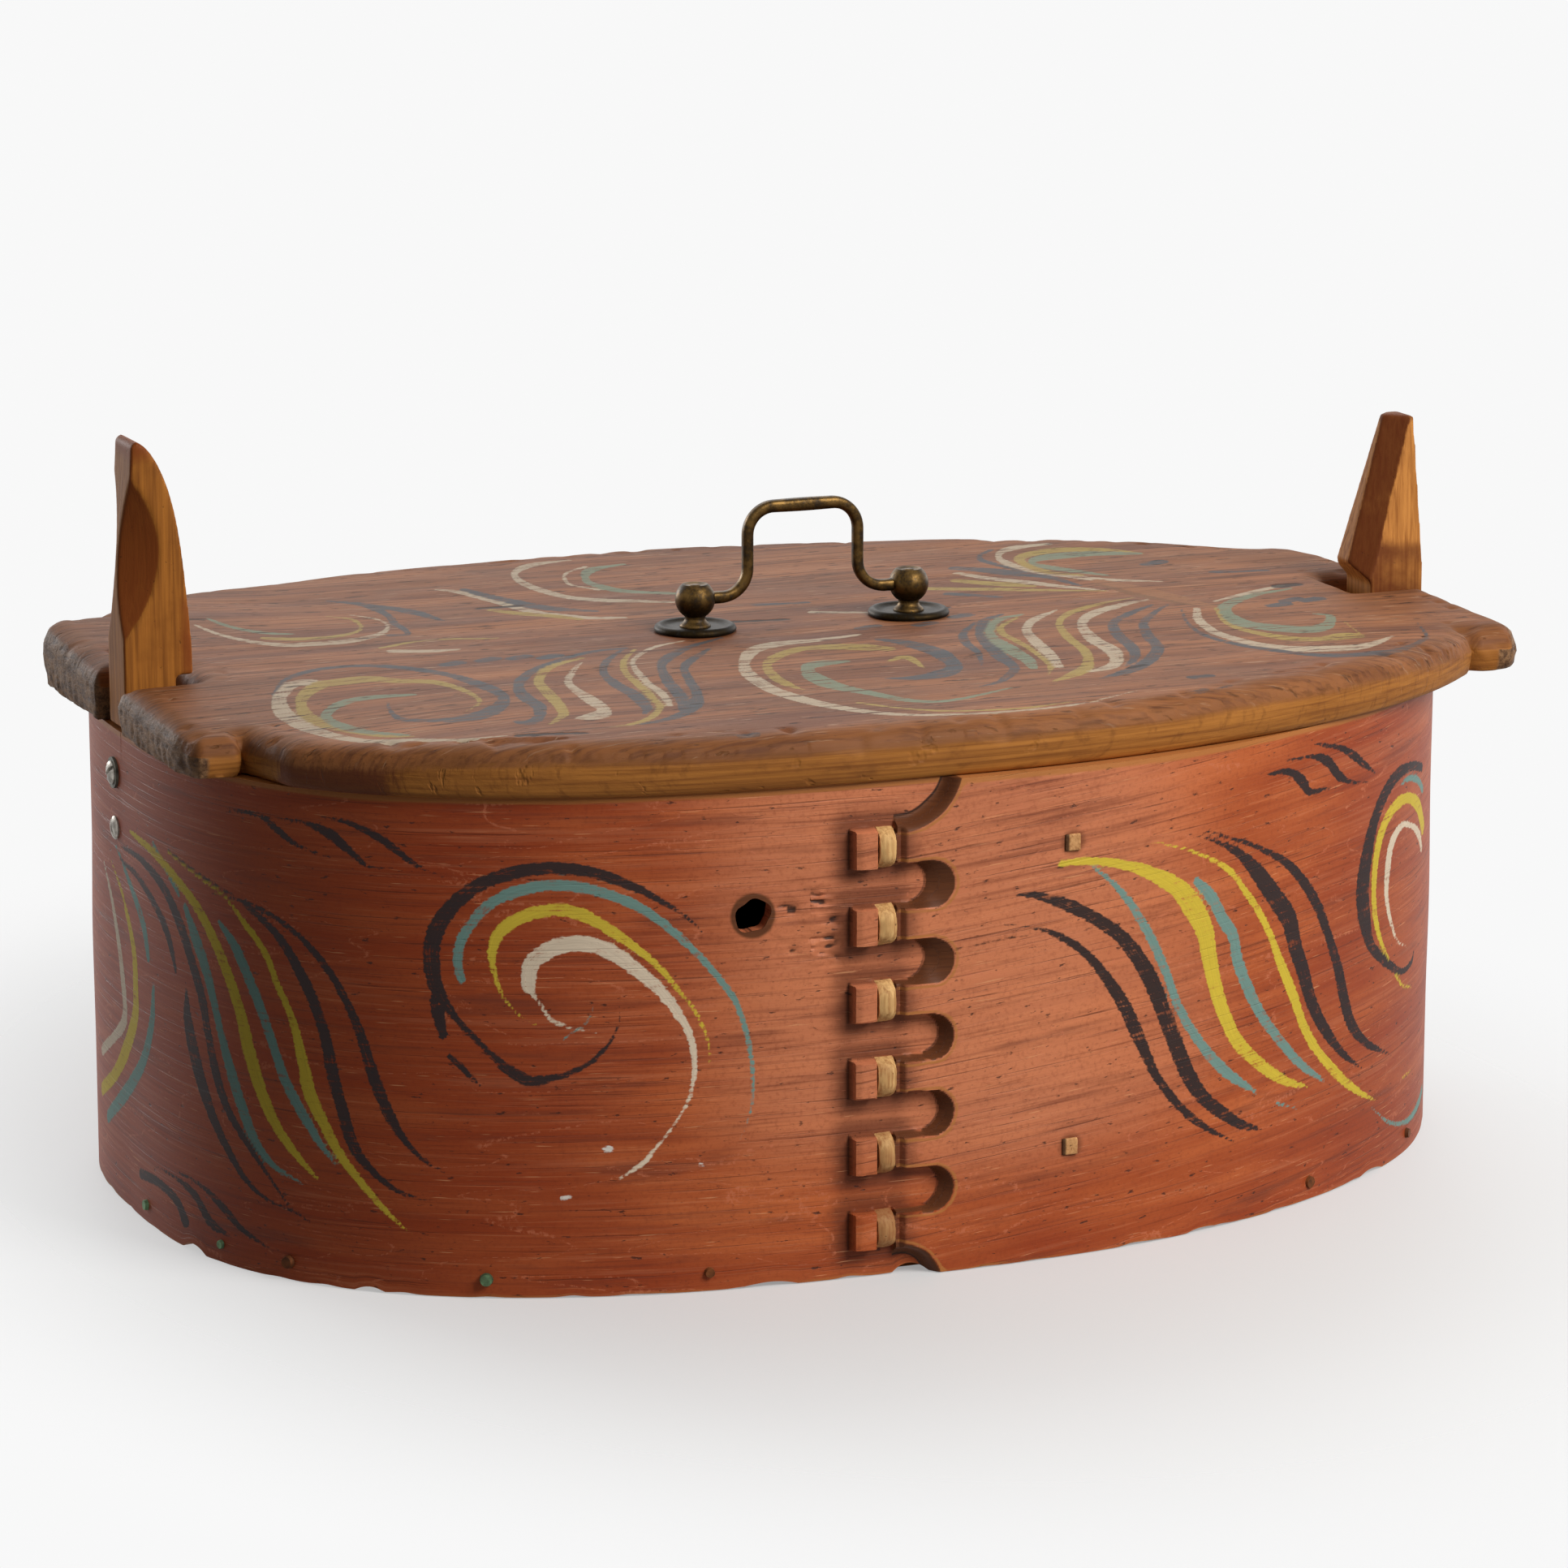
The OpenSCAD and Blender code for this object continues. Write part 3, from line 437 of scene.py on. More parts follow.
RIGHT_EDGE_SCROLL = [
    ("black", (1752, 945, 12), (1740, 944, 12), (1722, 954, 12), (1705, 980, 11), (1691, 1018, 11),
     (1683, 1059, 14), (1679, 1100, 16), (1683, 1135, 16), (1691, 1166, 12), (1709, 1186, 12),
     (1726, 1197, 9), (1738, 1186, 4), (1741, 1173, 1)),
    ("teal", (1753, 973, 5), (1747, 961, 8), (1736, 959, 8), (1726, 966, 3)),
    ("yellow", (1753, 1018, 6), (1748, 994, 10), (1736, 983, 14), (1722, 990, 12), (1709, 1007, 9),
     (1700, 1031, 8), (1695, 1059, 7), (1693, 1093, 6), (1695, 1128, 6), (1702, 1159, 5),
     (1712, 1183, 2)),
    ("yellow", (1719, 1202, 4), (1728, 1214, 4), (1738, 1216, 3)),
    ("cream", (1751, 1045, 3), (1748, 1028, 6), (1740, 1018, 7), (1729, 1016, 8), (1719, 1028, 7),
     (1712, 1049, 7), (1709, 1080, 6), (1709, 1107, 5), (1714, 1135, 4), (1722, 1159, 3),
     (1733, 1166, 1)),
    ("teal", (1690, 1365, 2), (1712, 1383, 5), (1733, 1381, 6), (1747, 1359, 4), (1752, 1341, 2)),
    ("yellow", (1728, 1328, 3), (1738, 1319, 2)),
]
WALL_GROUPS = (WALL_CRACKS, LEFT_EDGE_SCROLL, LEFT_FAN, MIDDLE_SCROLL, RIGHT_FAN, RIGHT_EDGE_SCROLL)
print("strokes on the wall", sum(len(group) for group in WALL_GROUPS))

# %% [markdown]
# ## Strokes on the lid
# The lid has the same scrolls, thinner and more worn. They are traced in the same way, and a later row lies
# over an earlier one, as it was painted.

# %% Strokes on the lid
LID_COLOURS = {"blue": srgb(58, 70, 76), "slate": srgb(48, 54, 58), "yellow": srgb(172, 148, 76),
               "cream": srgb(198, 180, 154), "green": srgb(124, 138, 114), "bare": srgb(150, 98, 58),
               "rub": srgb(122, 80, 44)}
LID_STROKES = [
    ("slate", (868, 921, 8), (885, 914, 9), (905, 909, 4)),
    ("slate", (912, 905, 5), (925, 903, 6), (940, 904, 3)),
    ("slate", (943, 914, 6), (962, 909, 7), (988, 904, 3)),
    ("slate", (1006, 911, 6), (1030, 906, 7), (1056, 902, 2)),
    ("slate", (1446, 860, 6), (1466, 857, 4)),
    ("slate", (1472, 834, 5), (1490, 832, 4)),
    ("slate", (1498, 848, 6), (1518, 842, 3)),
    ("slate", (1540, 844, 7), (1562, 838, 3)),
    ("rub", (1353, 718, 4), (1420, 732, 11), (1480, 744, 7), (1510, 750, 3)),
    ("cream", (378, 838, 8), (357, 841, 12), (344, 855, 18), (350, 870, 18), (373, 883, 12),
     (407, 895, 8), (445, 903, 5), (484, 905, 4), (514, 905, 3), (568, 907, 2), (625, 905, 1)),
    ("blue", (336, 851, 3), (350, 836, 4), (384, 825, 4), (430, 820, 3), (484, 821, 4), (530, 826, 5),
     (568, 834, 7), (598, 845, 11), (621, 859, 15), (606, 874, 14), (575, 882, 9), (537, 883, 4),
     (499, 881, 4), (484, 874, 5), (478, 864, 4), (480, 859, 1)),
    ("yellow", (575, 874, 2), (591, 864, 6), (583, 855, 5), (560, 845, 5), (530, 839, 5), (491, 838, 5),
     (453, 835, 7), (422, 838, 9), (396, 841, 10), (376, 851, 13), (371, 862, 14), (380, 874, 12),
     (407, 885, 7), (442, 893, 5), (476, 899, 3), (510, 901, 1)),
    ("green", (510, 853, 2), (465, 855, 4), (430, 859, 6), (407, 868, 9), (403, 876, 10), (422, 885, 8),
     (453, 893, 5), (503, 899, 2)),
    ("blue", (771, 797, 2), (732, 801, 3), (698, 809, 4), (667, 820, 6), (644, 834, 11), (639, 847, 14),
     (648, 859, 15), (664, 870, 16), (664, 882, 13), (652, 889, 6), (633, 887, 1)),
    ("yellow", (717, 809, 2), (690, 816, 5), (671, 826, 9), (664, 839, 13), (677, 855, 14),
     (690, 870, 13), (694, 880, 12), (679, 891, 4)),
    ("cream", (717, 815, 2), (706, 826, 7), (700, 839, 10), (713, 851, 10), (732, 864, 14),
     (744, 874, 18), (732, 882, 12), (709, 885, 1)),
    ("blue", (767, 799, 3), (748, 813, 9), (744, 828, 10), (759, 841, 11), (782, 855, 13),
     (797, 870, 14), (794, 878, 6)),
    ("yellow", (782, 799, 4), (769, 813, 8), (771, 828, 8), (786, 841, 8), (805, 859, 8),
     (813, 870, 10), (801, 883, 6), (778, 891, 3), (752, 895, 1)),
    ("cream", (843, 788, 1), (809, 795, 3), (786, 807, 5), (780, 818, 7), (794, 836, 8), (817, 855, 9),
     (826, 868, 7)),
    ("blue", (889, 784, 2), (855, 794, 5), (824, 809, 11), (815, 822, 12), (824, 839, 14),
     (840, 859, 16), (843, 874, 14)),
    ("blue", (874, 799, 3), (851, 813, 9), (843, 824, 11), (851, 839, 12), (859, 855, 14),
     (855, 870, 14), (828, 883, 6), (790, 891, 2)),
    ("cream", (1058, 781, 2), (1009, 787, 4), (961, 792, 7), (928, 801, 11), (917, 816, 14),
     (924, 831, 14), (950, 848, 11), (991, 862, 9), (1035, 871, 6), (1087, 878, 4), (1139, 880, 2.5),
     (1213, 878, 2), (1287, 871, 2), (1342, 863, 1.5), (1405, 849, 1)),
    ("yellow", (1091, 798, 5), (1058, 796, 7), (1017, 796, 6), (984, 799, 6), (954, 809, 9),
     (945, 820, 12), (954, 833, 11), (969, 842, 7), (991, 849, 1)),
    ("yellow", (1058, 865, 2), (1117, 872, 2), (1176, 875, 2), (1250, 872, 2), (1320, 863, 1)),
    ("green", (1039, 814, 4), (1009, 817, 10), (995, 824, 16), (1006, 835, 15), (1035, 846, 10),
     (1072, 853, 6), (1117, 861, 4), (1169, 861, 3), (1250, 846, 1)),
    ("blue", (1083, 787, 3), (1120, 792, 8), (1154, 803, 14), (1176, 818, 20), (1161, 829, 14),
     (1132, 834, 6), (1091, 835, 1)),
    ("yellow", (1095, 814, 2), (1117, 809, 4), (1139, 822, 2)),
    ("blue", (1202, 766, 3), (1187, 779, 10), (1191, 792, 11), (1206, 805, 8), (1211, 822, 1)),
    ("blue", (1235, 755, 3), (1213, 764, 9), (1207, 779, 11), (1217, 794, 13), (1235, 809, 14),
     (1250, 822, 13), (1243, 831, 9), (1228, 840, 4), (1202, 846, 1)),
    ("green", (1261, 755, 2), (1235, 761, 6), (1220, 772, 10), (1224, 785, 12), (1243, 798, 13),
     (1265, 811, 13), (1274, 822, 8)),
    ("yellow", (1254, 759, 3), (1235, 770, 6), (1235, 779, 8), (1254, 790, 6), (1276, 803, 5),
     (1294, 818, 8), (1291, 831, 3)),
    ("cream", (1302, 750, 2), (1276, 761, 8), (1265, 774, 12), (1276, 790, 13), (1294, 805, 12),
     (1305, 820, 10)),
    ("yellow", (1398, 735, 1), (1354, 744, 3), (1320, 753, 6), (1305, 766, 9), (1315, 783, 10),
     (1335, 799, 11), (1341, 814, 14), (1331, 827, 12), (1298, 839, 2)),
    ("cream", (1413, 738, 2), (1376, 746, 5), (1346, 755, 9), (1333, 768, 12), (1346, 785, 14),
     (1368, 799, 16), (1376, 812, 17), (1365, 822, 10), (1344, 827, 2)),
    ("blue", (1420, 744, 2), (1390, 755, 6), (1372, 766, 11), (1376, 779, 13), (1394, 796, 14),
     (1398, 809, 12), (1387, 820, 3)),
    ("blue", (1439, 744, 2), (1420, 755, 7), (1409, 768, 12), (1416, 783, 14), (1427, 798, 16),
     (1416, 812, 13), (1394, 825, 9), (1357, 835, 2)),
    ("cream", (1579, 720, 3), (1538, 729, 4), (1497, 740, 2)),
    ("cream", (1474, 749, 8), (1478, 763, 10), (1501, 779, 7), (1543, 791, 6), (1593, 798, 7),
     (1653, 797, 7), (1690, 791, 6), (1717, 779, 2)),
    ("yellow", (1497, 749, 3), (1515, 768, 5), (1552, 779, 5), (1593, 785, 5), (1634, 785, 6),
     (1662, 780, 8), (1678, 780, 6), (1657, 763, 2)),
    ("green", (1589, 724, 2), (1547, 731, 5), (1515, 743, 11), (1511, 754, 13), (1533, 766, 11),
     (1570, 772, 9), (1607, 774, 9), (1634, 768, 11), (1639, 756, 8), (1621, 754, 2)),
    ("blue", (1455, 749, 3), (1465, 768, 4), (1492, 784, 4), (1538, 795, 4), (1593, 803, 4),
     (1648, 806, 5), (1694, 802, 6), (1731, 795, 7), (1758, 779, 7), (1745, 759, 2)),
    ("cream", (1290, 670, 3), (1249, 674, 6), (1230, 683, 8), (1249, 697, 7), (1295, 706, 5),
     (1354, 713, 4), (1432, 716, 1)),
    ("yellow", (1405, 681, 2), (1354, 676, 4), (1299, 677, 5), (1263, 683, 8), (1258, 692, 8),
     (1290, 704, 5), (1331, 708, 2)),
    ("green", (1400, 681, 3), (1341, 681, 6), (1295, 685, 9), (1272, 692, 10), (1299, 699, 6),
     (1364, 708, 2)),
    ("blue", (1221, 676, 4), (1207, 683, 6), (1217, 692, 5), (1263, 704, 2)),
    ("blue", (1180, 699, 5), (1235, 704, 7), (1286, 710, 5), (1331, 720, 2)),
    ("blue", (1497, 704, 3), (1561, 702, 2)),
    ("cream", (1180, 706, 3), (1249, 715, 4), (1318, 722, 3), (1364, 727, 1)),
    ("yellow", (1146, 724, 4), (1231, 725, 4), (1361, 727, 1)),
    ("yellow", (1180, 714, 4), (1240, 719, 5), (1272, 721, 2)),
    ("blue", (1172, 731, 4), (1231, 734, 2)),
    ("cream", (1002, 753, 3), (1065, 754, 2)),
    ("blue", (932, 745, 3), (995, 741, 2)),
    ("cream", (241, 777, 2), (281, 788, 3), (337, 795, 4), (392, 793, 4), (439, 788, 5), (469, 780, 5),
     (478, 771, 4), (467, 763, 2), (431, 757, 1)),
    ("blue", (405, 739, 2), (452, 745, 6), (478, 758, 6), (486, 767, 8), (503, 780, 8), (482, 782, 3)),
    ("blue", (461, 745, 3), (503, 752, 7), (546, 763, 2)),
    ("green", (256, 769, 2), (286, 777, 3), (328, 782, 3), (362, 782, 1)),
    ("yellow", (328, 788, 3), (371, 788, 4), (414, 784, 4), (444, 775, 4), (435, 763, 3),
     (401, 759, 1)),
    ("cream", (700, 690, 2), (653, 696, 6), (634, 707, 9), (649, 720, 7), (691, 733, 5), (743, 739, 4),
     (786, 740, 3), (828, 741, 2)),
    ("cream", (721, 698, 3), (696, 707, 4), (704, 720, 3), (738, 726, 2)),
    ("green", (768, 694, 2), (730, 701, 7), (721, 711, 9), (738, 722, 6), (781, 728, 4), (828, 730, 3)),
    ("cream", (538, 726, 2), (572, 730, 4), (615, 741, 5), (657, 752, 5), (713, 760, 4), (768, 760, 2)),
    ("blue", (572, 726, 4), (627, 739, 6), (679, 748, 6), (734, 752, 2)),
    ("yellow", (606, 750, 3), (657, 756, 5), (713, 762, 3)),
    ("cream", (486, 801, 4), (529, 801, 4), (563, 799, 2)),
    ("yellow", (469, 797, 2), (529, 788, 2), (615, 786, 1)),
    ("bare", (1354, 715, 6), (1430, 731, 9), (1492, 747, 5)),
]
LID_DABS = [(556, 816), (600, 811), (639, 808), (677, 807), (885, 918), (925, 908), (955, 912), (1020, 908),
            (1457, 859), (1480, 850), (1575, 743), (1591, 737), (1616, 736), (1069, 772), (1139, 768),
            (1183, 757), (1421, 692)]
LID_STROKES += [("blue", (x - 8, y + 2, 5), (x + 8, y - 1, 6)) for x, y in LID_DABS]
print("strokes on the lid", len(LID_STROKES))


# %% [markdown]
# ## Tracing the strokes
# A row of points becomes a fine line on the surface itself. Its half width comes from two more rays, one on
# each side of the stroke, because a stroke near the end of the box is wider than it looks.

# %% Tracing the strokes
def smooth_line(knots, steps=7):
    """A Catmull-Rom curve through the knots."""
    ends = np.vstack([2 * knots[0] - knots[1], knots, 2 * knots[-1] - knots[-2]])
    share = np.arange(steps)[:, None] / steps
    parts = []
    for a, b, c, d in zip(ends, ends[1:], ends[2:], ends[3:]):
        curve = 2 * b + (c - a) * share + (2 * a - 5 * b + 4 * c - d) * share ** 2
        parts.append((curve + (3 * b - a - 3 * c + d) * share ** 3) / 2)
    return np.vstack(parts + [knots[-1:]])


def unit(rows):
    return rows / np.maximum(np.linalg.norm(rows, axis=1, keepdims=True), 1e-12)


def trace(points, on_surface):
    """The stroke as a fine line on the surface, each row its two coordinates and half its width."""
    points = np.array(points, float)
    pixels = points[:, :2]
    way = unit(np.gradient(pixels, axis=0))
    side = np.column_stack([-way[:, 1], way[:, 0]]) * points[:, 2:] / 2
    middle = on_surface(pixels)
    spread = on_surface(pixels + side) - on_surface(pixels - side)
    half = np.abs(cross(spread, unit(np.gradient(middle, axis=0)))) / 2
    return smooth_line(np.column_stack([middle, half]))


def traced(strokes, colours, on_surface):
    return [(colours[colour], trace(points, on_surface)) for colour, *points in strokes]


def moved(strokes, along):
    """The same strokes, further along the board."""
    return [(colour, line + np.array((along, 0, 0))) for colour, line in strokes]


wall_strokes = []
for group in WALL_GROUPS:
    wall_strokes += traced(group, WALL_COLOURS, on_wall)
back_strokes = moved(wall_strokes, PERIMETER / 2) + wall_strokes + moved(wall_strokes, PERIMETER)
lid_strokes = traced(LID_STROKES, LID_COLOURS, on_lid)
print("traced", len(wall_strokes), "on the wall and", len(lid_strokes), "on the lid")

# %% [markdown]
# ## Painting a mesh
# Paint lies on the wood as a thin film. Separate strips of mesh would flicker against the wall, so each
# vertex learns how deep it lies inside a stroke, the stroke's colour and its place along it. The material
# reads those attributes and frays and wears the edge between vertices.

# %% Painting a mesh
PAINT_MARGIN = 3 * MM
NO_PAINT = -10.0


def painted(place, strokes):
    """How deep in a stroke each place lies, the stroke's colour and the place along it, in millimetres."""
    edge = np.full(len(place), NO_PAINT)
    tint = np.zeros((len(place), 4))
    along = np.zeros((len(place), 3))
    for number, (colour, line) in enumerate(strokes):
        reach = line[:, 2].max() + PAINT_MARGIN
        inside_box = (place > line[:, :2].min(0) - reach) & (place < line[:, :2].max(0) + reach)
        near = np.nonzero(inside_box.all(1))[0]
        if not len(near):
            continue
        spot = place[near]
        depth = np.full(len(near), -1.0)
        run = np.zeros((len(near), 3))
        travelled = 0.0
        for start, end in zip(line, line[1:]):
            step = end[:2] - start[:2]
            length = np.linalg.norm(step)
            if length < 1e-9:
                continue
            share = np.clip((spot - start[:2]) @ step / length ** 2, 0, 1)
            off = spot - start[:2] - share[:, None] * step
            away = np.hypot(off[:, 0], off[:, 1])
            here = start[2] + (end[2] - start[2]) * share - away
            better = here > depth
            depth[better] = here[better]
            run[better, 0] = (travelled + share * length)[better]
            run[better, 1] = (away * np.sign(cross(step, spot - start[:2])))[better]
            travelled += length
        run[:, 2] = number * MM
        depth = depth / MM
        over = (depth > 0) | (depth > edge[near])
        chosen = near[over]
        edge[chosen] = depth[over]
        tint[chosen] = colour
        along[chosen] = run[over] / MM
    return {"paint_edge": edge, "paint_tint": tint, "paint_run": along}


# %% [markdown]
# ## Small tools
# Most pieces are arrays of points first, and a mesh with vertex values last. These few functions serve all of
# them: soft steps, noise with a fixed seed, quads between rings, and the mesh itself.

# %% Small tools
LATTICE = 64
# How a vertex value is kept, by how many numbers it has.
KINDS = {1: ("FLOAT", "value"), 3: ("FLOAT_VECTOR", "vector"), 4: ("FLOAT_COLOR", "color")}


def make_object(name, points, faces, material, attributes, sharp=40):
    """A smooth mesh with its vertex values; edges of more than sharp degrees stay sharp."""
    mesh = bpy.data.meshes.new(name)
    mesh.from_pydata(np.asarray(points, float).tolist(), [], faces)
    for key, values in attributes.items():
        values = np.asarray(values, np.float32)
        kind, field = KINDS[1 if values.ndim == 1 else values.shape[1]]
        mesh.attributes.new(key, kind, "POINT").data.foreach_set(field, values.ravel())
    mesh.materials.append(material)
    mesh.validate()
    mesh.shade_smooth()
    mesh.set_sharp_from_angle(angle=math.radians(sharp))
    return linked(name, mesh)


def value_noise(x, y, seed):
    """Smooth random values between 0 and 1 on a unit lattice."""
    lattice = np.random.RandomState(seed).rand(LATTICE, LATTICE)
    left, low = np.floor(x).astype(int), np.floor(y).astype(int)
    across, up = x - left, y - low
    across, up = across * across * (3 - 2 * across), up * up * (3 - 2 * up)
    corner = [lattice[(left + i) % LATTICE, (low + j) % LATTICE] for i in (0, 1) for j in (0, 1)]
    return (corner[0] * (1 - across) * (1 - up) + corner[1] * (1 - across) * up
            + corner[2] * across * (1 - up) + corner[3] * across * up)


def smooth_step(value, start, end):
    share = np.clip((value - start) / (end - start), 0, 1)
    return share * share * (3 - 2 * share)


def hump(value, start, full, fall, end):
    """0 before start, 1 between full and fall, and 0 again after end."""
    return smooth_step(value, start, full) * smooth_step(value, end, fall)


def ring_quads(first, second):
    """Quads between two closed rings of vertex numbers."""
    return np.column_stack([first, np.roll(first, -1), np.roll(second, -1), second]).tolist()


# %% [markdown]
# ## Grain and paint
# Bent pine has fine lines along the board, and old paint is worn off them first. Stretched noise gives the
# lines. The same lines then thin the paint, so that wood and paint look worn together.

# %% Grain and paint
def wood_lines(finish, vector, across):
    """Fine and broad grain along the first axis of the vector, with across lines to the metre."""
    fine = finish.streaks(vector, (across * 0.022, across, across), 5.0, 0.6, 0.3)
    broad = finish.streaks(vector, (across * 0.012, across * 0.12, across * 0.12), 3.0, 0.5, 0.6)
    return fine, broad


def paint_over(finish, wood, grain, wear, thin, most):
    """The vertex paint over a wood colour: frayed edges, bristle streaks and worn spots."""
    edge = finish.attribute("paint_edge", "Fac")
    tint = finish.attribute("paint_tint", "Color")
    run = finish.attribute("paint_run", "Vector")
    place = finish.place()
    bristle = finish.streaks(run, (0.05, 1.7, 3.0), 3.0, 0.6)
    fray = finish.streaks(place, (320.0, 900.0, 900.0), 3.0, 0.6)
    worn = finish.noise(place, 170.0, 6.0, 0.7)
    covered = (edge + (fray - 0.5) * 1.9).rise(-0.2, 0.35)
    solid = (bristle * thin + (1.0 - worn) * wear - grain).rise(0.30, 0.56)
    mask = covered * solid * most
    shade = finish.mix((bristle - 0.5) * 0.5 + 0.15, tint, srgb(60, 42, 32))
    return finish.mix(mask, wood, shade), mask


# %% [markdown]
# ## The wall's finish
# The wall was stained red-brown. Painted light makes its front middle paler, and painted shade darkens its
# ends and its foot. Broad, fine and hair-thin noise are layered on the board's own run and height, so the
# grain bends with the board.

# %% The wall's finish
def wall_finish():
    finish = Finish("wall_board")
    board, place = finish.attribute("board", "Vector"), finish.place()
    values = ("painted_light_and_shade", "dark_near_heads", "worn", "carved_and_shade", "crack")
    painted_light_and_shade, dark_near_heads, worn, carved_and_shade, crack = [finish.attribute(key, "Fac") for key in values]
    fine, broad = wood_lines(finish, board, 900.0)
    blotch = finish.noise(place, 11.0, 5.0, 0.6)
    mottle = finish.noise(place, 700.0, 3.0, 0.6)
    drift = finish.streaks(board, (9.0, 320.0, 1.0), 4.0, 0.65, 0.4)
    smear = finish.streaks(board, (12.0, 110.0, 1.0), 4.0, 0.6)
    hair = finish.streaks(board, (14.0, 1100.0, 1.0), 3.0, 0.55, 0.5)
    scratch = finish.streaks(board, (60.0, 1400.0, 1.0), 2.0, 0.5)
    scrape = finish.streaks(board, (14.0, 70.0, 1.0), 2.0, 0.4, 0.5)
    speck = finish.streaks(board, (190.0, 520.0, 1.0), 3.0, 0.6)
    scraped = scrape.rise(0.488, 0.5) * scrape.rise(0.512, 0.5) * mottle.rise(0.46, 0.60)
    patchy = (blotch - 0.5) * 0.4
    tone = finish.mix(broad.rise(0.2, 0.8), srgb(150, 66, 31), srgb(192, 103, 57))
    tone = finish.coats(tone, [
        (blotch.rise(0.42, 0.7) * 0.5, (148, 62, 32)),
        # Painted light: the front middle is paled as if lit; painted shade darkens both ends and the foot.
        ((painted_light_and_shade + patchy * 1.5).rise(0.1, 1.1) * 0.55, (214, 140, 102)),
        ((painted_light_and_shade * -1.0 + patchy).rise(0.1, 1.0) * 0.6, (132, 46, 16)),
        (mottle.rise(0.45, 0.75) * 0.3, (116, 48, 26)),
        (fine.rise(0.54, 0.72) * 0.45, (94, 38, 20)),
        (fine.rise(0.44, 0.30) * 0.22, (212, 136, 94)),
        ((drift + patchy).rise(0.53, 0.74) * 0.5, (100, 46, 32)),
        ((drift - patchy).rise(0.44, 0.30) * 0.13, (212, 140, 104)),
        (smear.rise(0.56, 0.72) * 0.55, (100, 48, 34)),
        # Darker close round the finger heads, broken up by streaks.
        ((dark_near_heads + (drift - 0.5) * 0.8).rise(0.1, 1.0) * 0.7, (84, 42, 27)),
        (hair.rise(0.62, 0.69) * 0.5, (62, 26, 14)),
        (scratch.rise(0.67, 0.74) * 0.5, (222, 158, 112)),
        (scraped * 0.4, (214, 128, 92)),
        (speck.rise(0.63, 0.71) * 0.8, (44, 22, 16)),
        ((worn + (fine - 0.5) * 0.9).rise(0.35, 0.75) * 0.8, (172, 112, 58))])
    # Bare whittled wood in the slots and cuts, painted darker where shade falls in the slots and round the
    # lap pegs.
    whittled = finish.mix(fine, srgb(112, 64, 34), srgb(66, 36, 22))
    tone = finish.mix(carved_and_shade.rise(0.15, 0.8), tone, whittled)
    # Cracks and joint lines, with painted shade on the left end of each finger head and at the foot of the
    # slots' bevels.
    tone = finish.mix(crack.rise(0.2, 0.9) * 0.9, tone, srgb(26, 15, 11))
    tone, mask = paint_over(finish, tone, (fine - 0.5) * 0.8, 0.8, 0.42, 0.97)
    height = fine * 0.5 - hair.rise(0.58, 0.7) * 0.5 - speck.rise(0.64, 0.76) * 0.6 + mask * 0.12
    normal = finish.bump(height, 0.32 * MM, 0.6)
    rough = 0.44 + mask * 0.1 + fine * 0.12
    return finish.surface({"Base Color": tone, "Roughness": rough, "Normal": normal,
                           "Specular IOR Level": 0.16})


# %% [markdown]
# ## The lid's finish
# The lid is the same stain, greyed and nicked, and its rim is rubbed to bare golden wood. The vertex values
# bare, low_rim, red_shaded_edge and torn say where, and noise breaks up their borders; red_shaded_edge keeps
# the rim red-brown at the left front shoulder and paints it darker there as shade.

